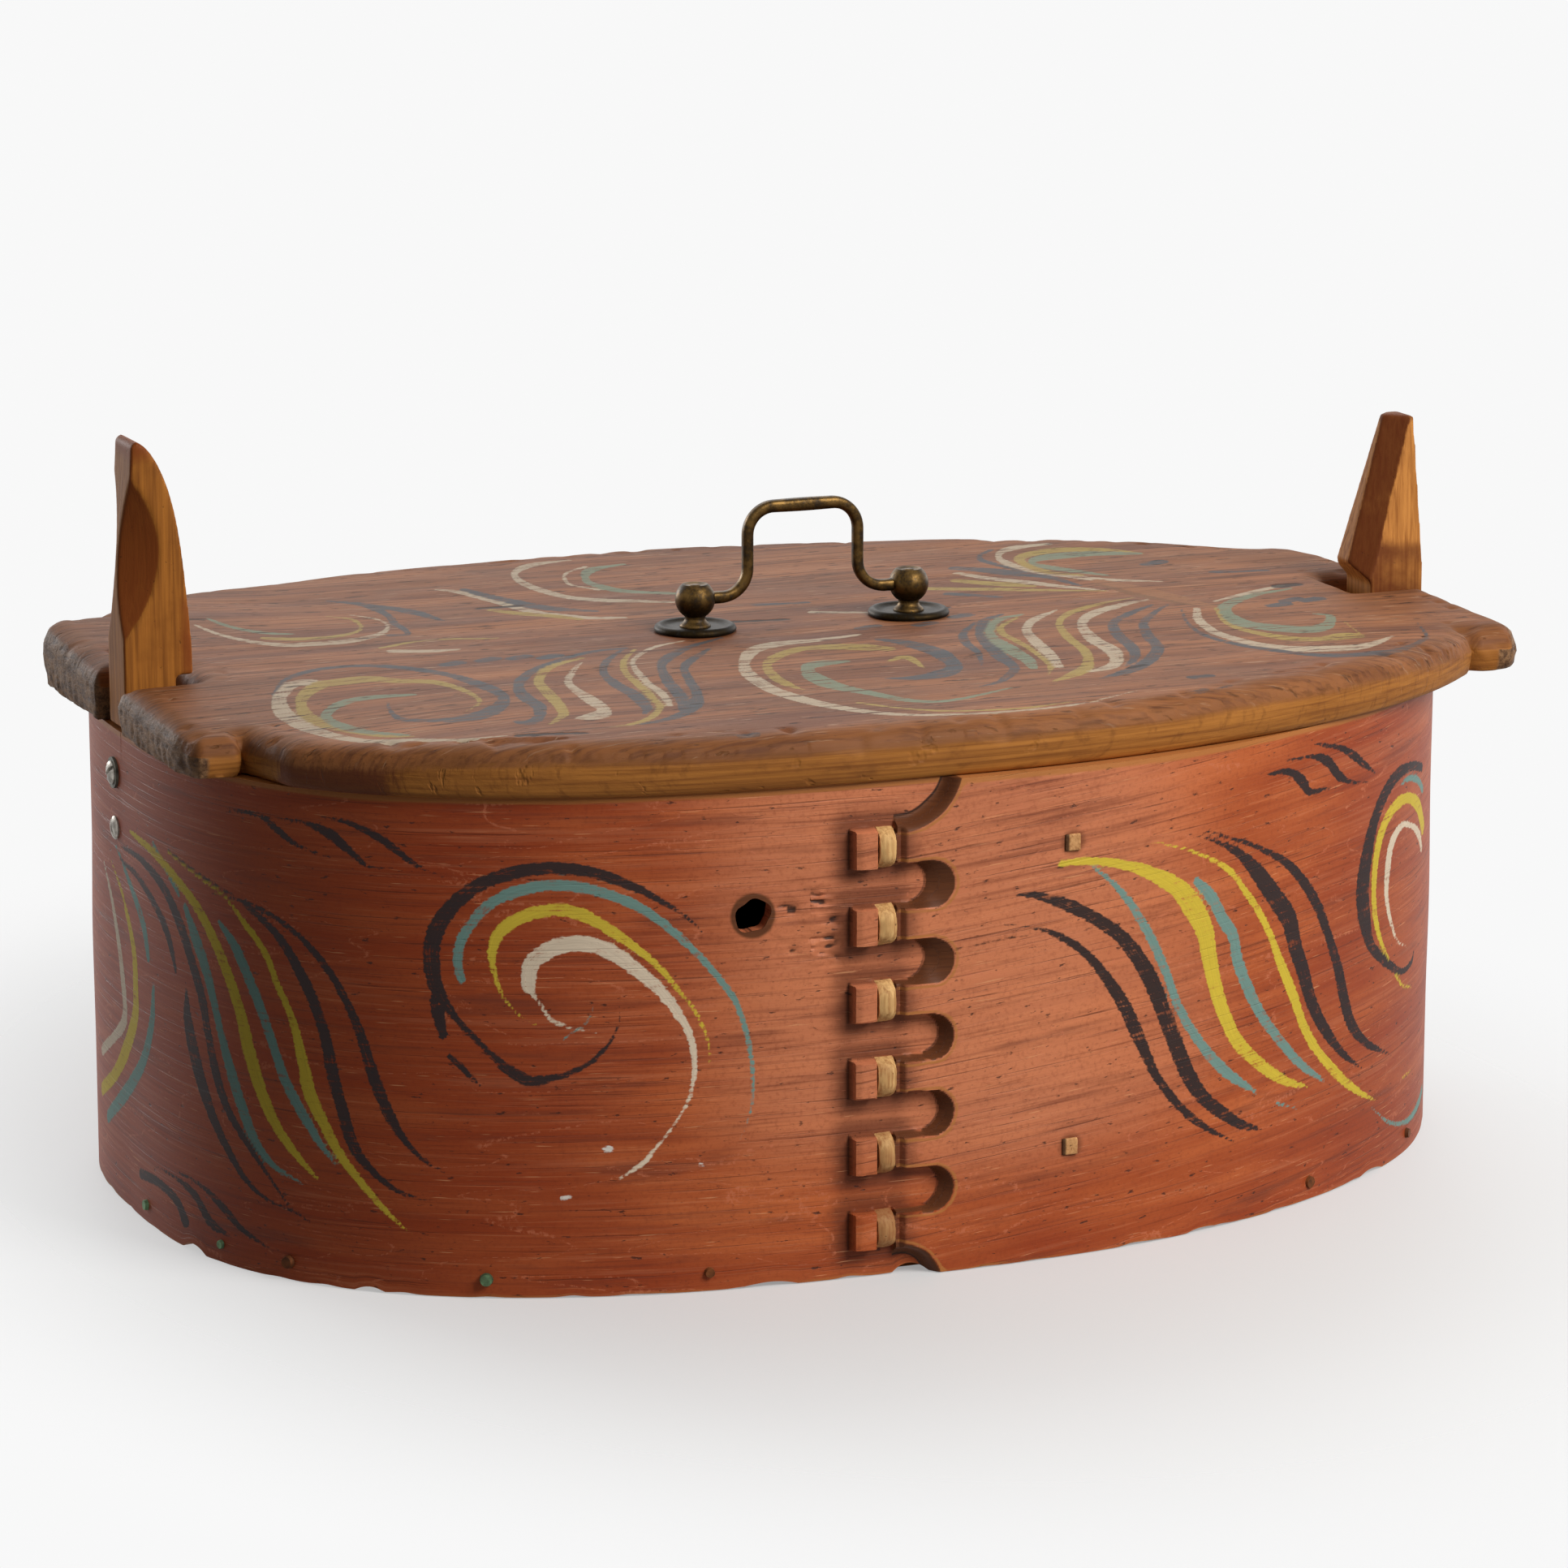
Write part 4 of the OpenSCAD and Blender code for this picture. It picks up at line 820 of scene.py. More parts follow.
# %% The lid's finish
def lid_finish():
    finish = Finish("lid_board_weathered")
    place = finish.place()
    values = ("bare", "low_rim", "red_shaded_edge", "torn", "crack")
    bare, low, red_shaded, torn, crack = [finish.attribute(key, "Fac") for key in values]
    fine, broad = wood_lines(finish, place, 560.0)
    blotch = finish.noise(place, 22.0, 5.0, 0.65)
    scuff = finish.streaks(place, (70.0, 900.0, 60.0), 3.0, 0.6)
    chip = finish.streaks(place, (90.0, 430.0, 90.0), 3.0, 0.6)
    rings = finish.streaks(place, (9.0, 70.0, 760.0), 4.0, 0.6, 0.4)
    hatch = finish.streaks(place, (70.0, 1000.0, 130.0), 4.0, 0.6)
    grey = finish.streaks(place, (500.0, 160.0, 500.0), 5.0, 0.7)
    tone = finish.mix(broad.rise(0.25, 0.75), srgb(102, 58, 34), srgb(156, 100, 62))
    tone = finish.coats(tone, [
        (blotch.rise(0.42, 0.72) * 0.6, (112, 74, 50)),
        (fine.rise(0.50, 0.66) * 0.7, (66, 36, 24)),
        (scuff.rise(0.62, 0.72) * 0.5, (196, 166, 136))])
    tone, mask = paint_over(finish, tone, (fine - 0.5) * 1.3, 0.7, 0.4, 0.88)
    tone = finish.mix(chip.rise(0.61, 0.68) * 0.85, tone, srgb(44, 26, 18))
    gold = finish.mix(rings.rise(0.25, 0.85), srgb(172, 112, 50), srgb(108, 60, 24))
    gold = finish.coats(gold, [
        (hatch.rise(0.52, 0.72) * 0.5, (92, 50, 22)),
        (blotch.rise(0.5, 0.72) * 0.5, (104, 60, 30)),
        # Painted shade: the rim at the left front shoulder is painted dark red-brown.
        ((red_shaded + (hatch - 0.5) * 0.8).rise(0.25, 0.75) * 0.85, (82, 36, 20))])
    handled = finish.mix(hatch.rise(0.45, 0.65), srgb(126, 78, 38), srgb(84, 48, 24))
    rubbed = (bare + (fine - 0.5) * 0.9 + (blotch - 0.5) * 0.7).rise(0.3, 1.0)
    tone = finish.mix(rubbed * 0.55, tone, handled)
    broken_low = low + (fine - 0.5) * 0.4 + (hatch - 0.5) * 0.6 + (blotch - 0.5) * 0.6
    tone = finish.mix(broken_low.rise(0.15, 0.7), tone, gold)
    ragged = finish.mix(grey.rise(0.35, 0.65), srgb(70, 46, 30), srgb(140, 104, 72))
    tone = finish.mix((torn + (blotch - 0.5) * 0.6).rise(0.4, 0.8), tone, ragged)
    tone = finish.mix(crack.rise(0.2, 0.9) * 0.9, tone, srgb(30, 18, 12))
    height = fine * 0.6 - chip.rise(0.62, 0.72) * 0.8 + mask * 0.1 + torn * grey * 1.2 - crack
    normal = finish.bump(height, 0.6 * MM, 0.6)
    return finish.surface({"Base Color": tone, "Roughness": 0.52 + fine * 0.16, "Normal": normal,
                           "Specular IOR Level": 0.15})


# %% [markdown]
# ## Bare wood and metal
# Posts, pegs and straps are unpainted, and the handle and screws are old brass and steel. Two short recipes
# serve them all: wood with its grain along one axis, and metal that is dull where its patina has pitted it.

# %% Bare wood and metal
ALONG_X, ALONG_Y, ALONG_Z = 0, 1, 2


def plain_wood(name, axis, lines, *colours):
    """Bare wood with its grain along an axis, and so many lines to the metre across it.

    The colours are the light wood, the dark wood and the stain, laid on by the vertex value stain_and_shade;
    on the lap pegs and on the right post's left front faces that value is painted shade."""
    finish = Finish(name)
    light, dark, stain_and_shade = [srgb(*colour) for colour in colours]
    place = finish.place()
    scale = [lines] * 3
    scale[axis] = lines * 0.03
    fine = finish.streaks(place, tuple(scale), 5.0, 0.6, 0.4)
    blotch = finish.noise(place, 55.0, 4.0, 0.6)
    tone = finish.mix(fine.rise(0.28, 0.86), light, dark)
    tone = finish.mix(blotch.rise(0.5, 0.75) * 0.4, tone, dark)
    stain_and_shade_value = finish.attribute("stain_and_shade", "Fac")
    tone = finish.mix((stain_and_shade_value + (blotch - 0.5) * 0.8).rise(0.3, 0.9) * 0.9, tone, stain_and_shade)
    speck = finish.noise(place, 420.0, 3.0, 0.6)
    tone = finish.mix(speck.rise(0.68, 0.76) * 0.7, tone, srgb(40, 22, 12))
    normal = finish.bump(fine * 0.7 - speck.rise(0.66, 0.78) * 0.5, 0.4 * MM, 0.5)
    return finish.surface({"Base Color": tone, "Roughness": 0.48 + fine * 0.15, "Normal": normal,
                           "Specular IOR Level": 0.1})


def metal(name, rough, *colours):
    """Old metal; the colours are the bright metal, the dark metal and the patina."""
    finish = Finish(name)
    bright, dark, patina = [srgb(*colour) for colour in colours]
    place = finish.place()
    cloud = finish.noise(place, 260.0, 5.0, 0.65)
    pit = finish.noise(place, 1300.0, 3.0, 0.6)
    tone = finish.mix(cloud.rise(0.36, 0.66), bright, dark)
    tone = finish.mix(pit.rise(0.60, 0.72) * 0.7, tone, patina)
    clean = 1.0 - pit.rise(0.58, 0.74) * 0.5 - cloud.rise(0.5, 0.75) * 0.25
    normal = finish.bump(pit * -0.6 + cloud * 0.4, 0.15 * MM, 0.5)
    return finish.surface({"Base Color": tone, "Metallic": clean, "Roughness": rough + cloud * 0.2,
                           "Normal": normal})


# %% [markdown]
# ## The shelf of finishes
# Each finish is made once here and shared by every piece of the same stuff, as a maker would use one board.

# %% The shelf of finishes
wall_material = wall_finish()
lid_material = lid_finish()
post_material = plain_wood("post_pine", ALONG_Z, 700.0, (204, 138, 70), (126, 70, 28), (92, 42, 20))
dark_post_material = plain_wood("post_pine_dark", ALONG_Z, 700.0, (176, 112, 46), (106, 58, 22),
                                (128, 64, 26))
bottom_material = plain_wood("bottom_pine", ALONG_X, 420.0, (150, 100, 60), (96, 58, 32), (70, 40, 22))
peg_material = plain_wood("peg_wood_dark", ALONG_Y, 420.0, (120, 70, 38), (58, 34, 22), (40, 24, 16))
# The lap pegs' third colour is painted shade, laid on their left sides.
lap_peg_material = plain_wood("lap_peg_pale", ALONG_Y, 900.0, (206, 156, 104), (140, 88, 50), (52, 28, 18))
root_material = plain_wood("root_strap", ALONG_Z, 900.0, (222, 180, 120), (150, 96, 52), (120, 58, 32))
brass_material = metal("old_brass", 0.34, (92, 70, 38), (42, 31, 17), (22, 16, 10))
rose_material = metal("dark_brass", 0.4, (38, 29, 16), (24, 18, 10), (14, 11, 7))
washer_material = metal("dark_steel", 0.45, (92, 90, 80), (58, 57, 50), (34, 30, 26))
steel_material = metal("dull_steel", 0.34, (170, 165, 156), (116, 110, 102), (52, 44, 36))
copper_material = metal("green_copper", 0.55, (96, 124, 92), (70, 84, 62), (44, 44, 34))
print("materials", len(bpy.data.materials))

# %% [markdown]
# ## The carved lap
# On the front the outer end of the board is cut into six fingers with round slots between them, and each
# finger has a head that a root strap holds down. Boolean cuts on a thin bent wall leave ragged edges, so a
# function says how far the surface stands out at each place, and a fine grid follows it.

# %% The carved lap
FINGER_PITCH = 24.9
LOWEST_FINGER = 15.5
FINGERS = 6
FINGER_HALF = 4.8
HEAD_HALF = 6.3
TIP_X, NECK_X, CORNER_X = -45.0, -37.0, -30.5
SLOT_END_X, SLOT_RADIUS = -18.65, 7.65
TOP_CUT, BOTTOM_CUT, EDGE_BEVEL = 22.0, 16.0, 4.2
TONGUE_SHORT, TONGUE_IN, UPPER_TONGUE = 2.7, 1.1, 5.0
GROOVE_LEFT_X, GROOVE_RIGHT_X, GROOVE_UP = -29.0, -27.6, 3.0


def nearest(value, first, pitch, count):
    """How far a value is past the nearest of count places, a pitch apart."""
    number = np.clip(np.round((value - first) / pitch), 0, count - 1)
    return value - first - number * pitch


def from_finger(height):
    """How far a height is from the middle of the nearest finger."""
    return np.abs(nearest(height, LOWEST_FINGER, FINGER_PITCH, FINGERS))


def sewn_lap(x, height):
    """Relief of the lap at X and height in millimetres, and what of it is carved, cracked, painted as shade
    and rubbed.
    """
    lap = LAP_THICKNESS / MM
    right = x > CORNER_X
    off = from_finger(height)
    wobble = (value_noise(x / 5, height / 5, 8) - 0.5) * 1.2
    from_slot = nearest(height, LOWEST_FINGER + FINGER_PITCH / 2, FINGER_PITCH, FINGERS - 1)
    in_slot = SLOT_RADIUS - np.hypot(np.maximum(x - SLOT_END_X, 0), from_slot) + wobble * 0.35
    tongue_end = SLOT_END_X - TONGUE_SHORT - UPPER_TONGUE * smooth_step(height, 84.0, 96.0)
    past_tongue = np.hypot(np.maximum(x - tongue_end, 0), from_slot - 0.5)
    in_tongue = SLOT_RADIUS - TONGUE_IN - past_tongue + wobble * 0.5
    outside, within = np.maximum(-in_tongue, 0), np.maximum(in_slot, 0)
    slope = outside / (outside + within + 1e-6)
    top = LOWEST_FINGER + FINGER_PITCH * (FINGERS - 1) + FINGER_HALF
    low = LOWEST_FINGER - FINGER_HALF
    in_top = np.where(right, TOP_CUT - np.hypot(x - CORNER_X, height - top - TOP_CUT), height - top)
    in_low = np.where(right, BOTTOM_CUT - np.hypot(x - CORNER_X, height - low + BOTTOM_CUT), low - height)
    cut = np.maximum(in_top, in_low) + wobble * 0.35
    edge_slope = 1 - smooth_step(cut / EDGE_BEVEL, 0.0, 1.0)
    groove = GROOVE_UP + (lap - GROOVE_UP) * smooth_step(x, GROOVE_LEFT_X, GROOVE_RIGHT_X)
    main = np.minimum(lap * np.minimum(slope, edge_slope), groove)
    neck = GROOVE_UP * smooth_step(FINGER_HALF - off, -0.3, 0.5)
    head_in = np.minimum(HEAD_HALF - off + wobble * 0.3, np.minimum(x - TIP_X, NECK_X - x))
    head = lap * smooth_step(head_in, -0.4, 0.5) - 0.9 * smooth_step(x, -42.0, -45.5)
    relief = np.where(right, main, np.where(x > NECK_X, neck, np.maximum(head, 0)))
    # Painted shade: the bevel is coloured darker towards the slot's round end and along its lower side.
    shaded = 0.2 + 0.8 * smooth_step(x, tongue_end, tongue_end + 5) + 0.5 * smooth_step(-from_slot, 2.0, 6.0)
    on_slope = hump(slope, 0.02, 0.10, 0.93, 1.0) * np.minimum(shaded, 1)
    on_edge = smooth_step(cut, -0.3, 0.4) * smooth_step(EDGE_BEVEL + 0.9 - cut, 0.0, 0.8)
    carved_and_shade = np.where(right, np.maximum(on_slope, on_edge), 0)
    carved_and_shade = np.where(right & (x < GROOVE_LEFT_X - 0.2) & (slope > 0.9) & (cut < 0), 0.5, carved_and_shade)
    carved_and_shade = np.where(~right & (x > NECK_X) & (off < FINGER_HALF + 0.5), 0.9, carved_and_shade)
    # A dark line where the bevel meets the board beneath: the joint, painted darker where shade falls in the
    # slot.
    foot = np.exp(-(in_tongue / 0.4) ** 2) * np.clip(shaded - 0.3, 0, 0.8) * (in_slot > 0)
    foot = np.maximum(foot, np.exp(-((cut - EDGE_BEVEL - 0.5) / 0.45) ** 2))
    # Painted shade on the left end face of each finger head.
    head_end_shade = hump(x, TIP_X - 1.6, TIP_X - 0.6, TIP_X - 0.1, TIP_X + 0.9)
    crack = np.where(right, foot, 0.6 * head_end_shade * (off < HEAD_HALF + 0.4))
    rim = np.maximum(np.exp(-((in_slot + 0.7) / 0.8) ** 2), np.exp(-((cut + 0.7) / 0.8) ** 2))
    return relief, carved_and_shade, crack, np.where(right, rim * 0.75, 0)


# %% [markdown]
# ## The weathered wall
# Away from the lap the board is wavy, torn beside the knot hole and rubbed at its rim, and painted shade
# makes it darker at both ends.
# These could be painted by hand as masks. They are worked out from each point's place, so that every length
# of wall can ask for them and they always meet.

# %% The weathered wall
KNOT_X, KNOT_Z, KNOT_RADIUS = -77 * MM, 121 * MM, 5.5 * MM
SEAM_LEFT_X, SEAM_RIGHT_X = -58 * MM, 8 * MM
TORN_X, TORN_Z = (-72, -66, -52, -46), (98, 106, 128, 136)
LIT_MIDDLE_X, LIT_MIDDLE_HALF = -12.0, 105.0
DARK_NEAR_HEADS_REACH = 7.5
GRAIN_CLIMB = 0.10
peg_low, peg_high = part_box("lap_pegs")
LAP_PEG_HALF = (peg_high.x - peg_low.x) / 2 / MM
LAP_PEG_X = (peg_high.x + peg_low.x) / 2 / MM
LAP_PEG_LEVELS = (peg_low.z / MM + LAP_PEG_HALF, peg_high.z / MM - LAP_PEG_HALF)


def wall_relief(run, z):
    """How far the wall stands out, and the vertex values for its finish; run and z in metres."""
    point = oval(angle_at(run))
    x, front = point[..., 0] / MM, point[..., 1] < 0
    height, rim_height = z / MM, WALL_TOP / MM
    seam = front & (x > SEAM_LEFT_X / MM - 1) & (x < SEAM_RIGHT_X / MM + 1)
    relief, carved_and_shade, crack, rubbed = [np.where(seam, part, 0) for part in sewn_lap(x, height)]
    waves = (value_noise(run / MM / 45, height / 40, 3) - 0.5) * 0.7
    out = np.where(seam, relief, lap_out(run) / MM) + waves
    torn = front * hump(x, *TORN_X) * hump(height, *TORN_Z)
    rough = value_noise(x / 3.2, height / 1.0, 5) * value_noise(x / 8, height / 3, 6)
    out -= torn * rough * 1.8
    crack = np.maximum(crack, torn * smooth_step(rough, 0.34, 0.55))
    knot_far = np.hypot(x - KNOT_X / MM, height - KNOT_Z / MM)
    carved_and_shade = np.where(front, np.maximum(carved_and_shade, smooth_step(knot_far, 8.5, 6.0)), carved_and_shade)
    # Painted shade: a dark ring round each proud lap peg.
    for level in LAP_PEG_LEVELS:
        peg_far = np.hypot(x - LAP_PEG_X, height - level)
        ring = smooth_step(peg_far, LAP_PEG_HALF + 4.0, LAP_PEG_HALF) * 0.55
        carved_and_shade = np.where(front, np.maximum(carved_and_shade, ring), carved_and_shade)
    worn = smooth_step(height, rim_height - 3.5, rim_height - 0.3) + smooth_step(height, 2.5, 0.0) * 0.55
    # Darker close round the finger heads, fading with distance from them.
    past_head = np.maximum(np.maximum(TIP_X - x, x - CORNER_X), 0)
    from_head = np.hypot(past_head, np.maximum(from_finger(height) - HEAD_HALF, 0))
    dark_near_heads = np.where(front & (from_head > 0), np.exp(-(from_head / DARK_NEAR_HEADS_REACH) ** 2), 0)
    outer = front & ((x > SEAM_RIGHT_X / MM) | ((x > TIP_X) & (out > 2.4)))
    inner = ~outer & (run < 20 * MM)
    share = np.clip(run / RIGHT_END, -0.2, 1)
    back_fade = smooth_step(run, LEFT_END + PERIMETER, RIGHT_END)
    climb = GRAIN_CLIMB * RIGHT_END * (share - share ** 2 / 2) * back_fade
    board = np.stack([np.where(inner, run + PERIMETER, run), z - np.where(inner, 0, climb), run * 0], -1)
    # Painted light and shade: pale in the front middle, darker towards both ends and at the foot.
    middle = np.exp(-((x - LIT_MIDDLE_X) / LIT_MIDDLE_HALF) ** 2) * smooth_step(height, 8.0, 60.0) * 1.15
    ends = smooth_step(-x, 60.0, 170.0) + smooth_step(x, 70.0, 150.0) * 0.6
    painted_light_and_shade = np.where(front, middle, 0) - ends - smooth_step(height, 26.0, 4.0) * 0.6
    return out * MM, {"carved_and_shade": carved_and_shade, "crack": crack, "worn": worn + rubbed, "painted_light_and_shade": painted_light_and_shade,
                      "dark_near_heads": dark_near_heads, "board": board}


# %% [markdown]
# ## From a grid to a length of wall
# A length of wall is a closed tube of quads: the outer face, the inner face, two rims and two ends. A knot
# has fallen out of the front, and its hole is made by leaving out a few quads and joining rings across.
# The foot is chipped, so points close to it are lifted a little.

# %% From a grid to a length of wall
# Each chip: photo x, photo y, half its length and its depth in millimetres.
CHIPS = [(240, 1530, 7, 2.2), (455, 1585, 5, 1.4), (950, 1575, 9, 1.3), (1128, 1555, 6, 2.6),
         (1480, 1525, 6, 0.8), (1690, 1465, 8, 1.3)]
CHIP_FADE = 9 * MM
INNER_ROWS = 28
KNOT_AT, KNOT_WINDOW = (front_run(KNOT_X), KNOT_Z), 10 * MM
# Rings from the window to the hole: share of the way, and how far out where the relief doesn't say.
INNER_RINGS = [(share, -WALL_THICKNESS) for share in (0.3, 0.55, 0.75, 0.9, 1.0)]
OUTER_RINGS = [(share, np.nan) for share, _ in INNER_RINGS]
OUTER_RINGS += [(1.0, deep * MM) for deep in (-0.6, -1.8, -3.4, -5.0)]
chip_runs = on_wall(np.array([chip[:2] for chip in CHIPS], float))[:, 0]


def chip_lift(run, z):
    """The chipped lower edge: how far a point near it is lifted."""
    lift = (value_noise(run / MM / 9, run * 0, 12) ** 3) * 0.8 * MM
    for middle, (_, _, half, deep) in zip(chip_runs, CHIPS):
        lift = lift + deep * MM * np.clip(1 - ((run - middle) / (half * MM)) ** 2, 0, 1)
    return lift * np.clip(1 - z / CHIP_FADE, 0, 1)


def wall_points(run, z, out):
    plan = oval(angle_at(run), out)
    return np.column_stack([plan, z + chip_lift(run, z)])


def window_ring(a, b, c, d, high):
    """Vertex numbers round a window of the grid, from column a to b and from row c to d."""
    ring = [(i, c) for i in range(a, b)] + [(b, j) for j in range(c, d)]
    ring += [(i, d) for i in range(b, a, -1)] + [(a, j) for j in range(d, c, -1)]
    return [i * high + j for i, j in ring]


def knot_edge(run, z):
    """The edge of the knot's hole, straight inwards from these points."""
    turn = np.arctan2(z - KNOT_AT[1], run - KNOT_AT[0])
    radius = KNOT_RADIUS * (1 + 0.10 * np.sin(2 * turn + 0.5) + 0.05 * np.sin(5 * turn))
    return KNOT_AT[0] + np.cos(turn) * radius, KNOT_AT[1] + np.sin(turn) * radius


def wall_piece(name, runs, rows, strokes, knot):
    """A closed length of wall: outer grid, inner grid, rims and ends; knot cuts the fallen knot's hole."""
    profile = np.concatenate([rows, np.linspace(WALL_TOP, 0, INNER_ROWS)])
    high, count = len(profile), len(runs)
    run, z = [grid.ravel() for grid in np.meshgrid(runs, profile, indexing="ij")]
    set_out = np.tile(np.where(np.arange(high) < len(rows), np.nan, -WALL_THICKNESS), count)
    column, row = [grid.ravel() for grid in np.meshgrid(np.arange(count - 1), np.arange(high), indexing="ij")]
    above = (row + 1) % high
    quads = np.column_stack([column * high + row, (column + 1) * high + row,
                             (column + 1) * high + above, column * high + above])
    near = np.nonzero(np.abs(runs - KNOT_AT[0]) < KNOT_WINDOW)[0]
    level = np.nonzero(np.abs(profile - KNOT_AT[1]) < KNOT_WINDOW)[0]
    sides = ((level[level < len(rows)], OUTER_RINGS), (level[level >= len(rows)], INNER_RINGS))
    hole = []
    keep = np.ones(len(row), bool)
    for levels, rings in sides if knot else ():
        a, b, c, d = near[0], near[-1], levels[0], levels[-1]
        keep &= ~((column >= a) & (column < b) & (row >= c) & (row < d))
        previous = window_ring(a, b, c, d, high)
        old_run, old_z = run[previous], z[previous]
        edge_run, edge_z = knot_edge(old_run, old_z)
        for share, out in rings:
            ring = np.arange(len(previous)) + len(run)
            hole += ring_quads(previous, ring)
            run = np.append(run, old_run + (edge_run - old_run) * share)
            z = np.append(z, old_z + (edge_z - old_z) * share)
            set_out = np.append(set_out, np.full(len(ring), out))
            previous = ring
    ends = [list(range(high)), list(range((count - 1) * high, count * high))[::-1]]
    relief, attributes = wall_relief(run, z)
    hidden = ~np.isnan(set_out)
    points = wall_points(run, z, np.where(hidden, set_out, relief))
    attributes.update(painted(np.column_stack([run, z]), strokes))
    attributes["paint_edge"][hidden] = NO_PAINT
    for key in ("carved_and_shade", "crack", "dark_near_heads"):
        attributes[key] = np.where(hidden, 0, attributes[key])
    return make_object(name, points, quads[keep].tolist() + ends + hole, wall_material, attributes)


# %% [markdown]
# ## Four lengths of wall
# The seam needs a grid of half a millimetre and the back does not, so the wall is made in four lengths that
# meet edge to edge. The back can't be seen in the photo: it gets the same painting, turned half round.

# %% Four lengths of wall
def spaced(start, end, step):
    return np.linspace(start, end, int(math.ceil((end - start) / step)) + 1)


SEAM_START, SEAM_END = front_run(SEAM_LEFT_X), front_run(SEAM_RIGHT_X)
FRONT_STEP, SEAM_STEP, BACK_STEP = 1.05 * MM, 0.55 * MM, 1.5 * MM
LENGTHS = [("wall_left", LEFT_END, SEAM_START, FRONT_STEP, wall_strokes),
           ("wall_seam", SEAM_START, SEAM_END, SEAM_STEP, wall_strokes),
           ("wall_right", SEAM_END, RIGHT_END, FRONT_STEP, wall_strokes),
           ("wall_back", RIGHT_END, LEFT_END + PERIMETER, BACK_STEP, back_strokes)]
for name, start, end, step, strokes in LENGTHS:
    has_knot = start < KNOT_AT[0] < end
    piece = wall_piece(name, spaced(start, end, step), spaced(0, WALL_TOP, step), strokes, has_knot)
    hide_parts("band")
    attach(piece, "box")
    print(piece.name, len(piece.data.polygons), "faces")

# %% [markdown]
# ## The lid's outline
# The lid is a sawn board: an oval with a wide tab at each end and a notch for each post. The outline is a
# list of corners and arcs, spaced evenly and eased so that the corners wear round.

# %% The lid's outline
LID_UNDER = LID_LOW.z
LID_OVERHANG = 3 * MM
TAB_HALF = 82 * MM
NOTCH_LOW, NOTCH_HIGH = -6.8 * MM, 19 * MM
LEFT_NOTCH_X, RIGHT_NOTCH_X = -210.3 * MM, 213.5 * MM
LID_SPREAD = 19 * MM
ARC_SAMPLES, ARC_SKIP = 6001, 8


def lid_oval(angle):
    """The lid's oval: it follows the wall on the left and is a wider ellipse on the right."""
    along, across = HALF_LENGTH - BELLY_X + LID_SPREAD, HALF_WIDTH + LID_OVERHANG
    wider = np.column_stack([BELLY_X + along * np.cos(angle), across * np.sin(angle)])
    return np.where(np.cos(angle)[:, None] < 0, oval(angle, LID_OVERHANG), wider)


def lid_corners():
    """The outline's corners and arcs, counter-clockwise from the right tab's front shoulder."""
    arc = lid_oval(np.linspace(-math.pi, math.pi, ARC_SAMPLES))
    back = arc[arc[:, 1] > TAB_HALF]
    back = back[np.argsort(-back[:, 0])]
    front = arc[arc[:, 1] < -TAB_HALF]
    front = front[np.argsort(front[:, 0])]
    first, last = LID_LOW.x / MM, LID_HIGH.x / MM
    tab, low, high = TAB_HALF / MM, NOTCH_LOW / MM, NOTCH_HIGH / MM
    turn, notch = front[-1, 0] / MM, RIGHT_NOTCH_X / MM
    right = [(turn, 4.5 - tab), (turn + 3.5, 0.8 - tab), (last - 7, 0.6 - tab), (last - 1.5, 6 - tab),
             (last, 18 - tab), (last - 1, low), (notch, low), (notch, high), (last - 3, high),
             (last - 3, tab - 22), (last - 9, tab - 6), (last - 17, tab)]
    turn, notch = front[0, 0] / MM, LEFT_NOTCH_X / MM
    left = [(first + 5, tab + 9), (first, tab - 1), (first, high), (notch, high), (notch, low),
            (first, low), (first, 14 - tab), (first + 4, -tab), (turn + 4, -tab), (turn + 5.5, 5 - tab)]
    front = front[front[:, 0] > (turn + 13) * MM]
    back = back[(back[:, 0] > 0) | (back[:, 1] > (tab + 11) * MM)]
    return np.vstack([np.array(right) * MM, back[::ARC_SKIP], np.array(left) * MM, front[::ARC_SKIP]])


def resampled(ring, step):
    closed = np.vstack([ring, ring[:1]])
    run = np.concatenate([[0], np.cumsum(np.linalg.norm(np.diff(closed, axis=0), axis=1))])
    places = np.linspace(0, run[-1], int(run[-1] / step), endpoint=False)
    return np.column_stack([np.interp(places, run, closed[:, 0]), np.interp(places, run, closed[:, 1])])


def eased(ring, times):
    for _ in range(times):
        ring = (np.roll(ring, 1, 0) + 2 * ring + np.roll(ring, -1, 0)) / 4
    return ring


def inside_grid(ring, step):
    """Points of a staggered grid inside the ring."""
    following = np.roll(ring, -1, 0)
    found = []
    rows = np.arange(ring[:, 1].min() + step / 2, ring[:, 1].max(), step * 0.866)
    for number, y in enumerate(rows):
        crossing = (ring[:, 1] <= y) != (following[:, 1] <= y)
        a, b = ring[crossing], following[crossing]
        ends = np.sort(a[:, 0] + (y - a[:, 1]) / (b[:, 1] - a[:, 1]) * (b[:, 0] - a[:, 0]))
        first = ring[:, 0].min() + step * (0.5 if number % 2 else 1.0)
        xs = np.arange(first, ring[:, 0].max(), step)
        within = np.searchsorted(ends, xs) % 2 == 1
        found.append(np.column_stack([xs[within], np.full(within.sum(), y)]))
    return np.vstack(found)


def distance_to(ring, points, batch=3000):
    """How far each point is from the ring, a batch at a time to save memory."""
    far = np.empty(len(points))
    for start in range(0, len(points), batch):
        part = points[start:start + batch]
        gap = part[:, None, :] - ring[None, :, :]
        far[start:start + batch] = np.sqrt((gap ** 2).sum(-1).min(1))
    return far


# %% [markdown]
# ## The lid's board
# The top has to be fine enough to carry the painting, so it is filled with a grid of small triangles. The
# old board has twisted, and its edge is worn round, which a plain bevel would make too even. Rings of
# vertices go down the sides to the underside.

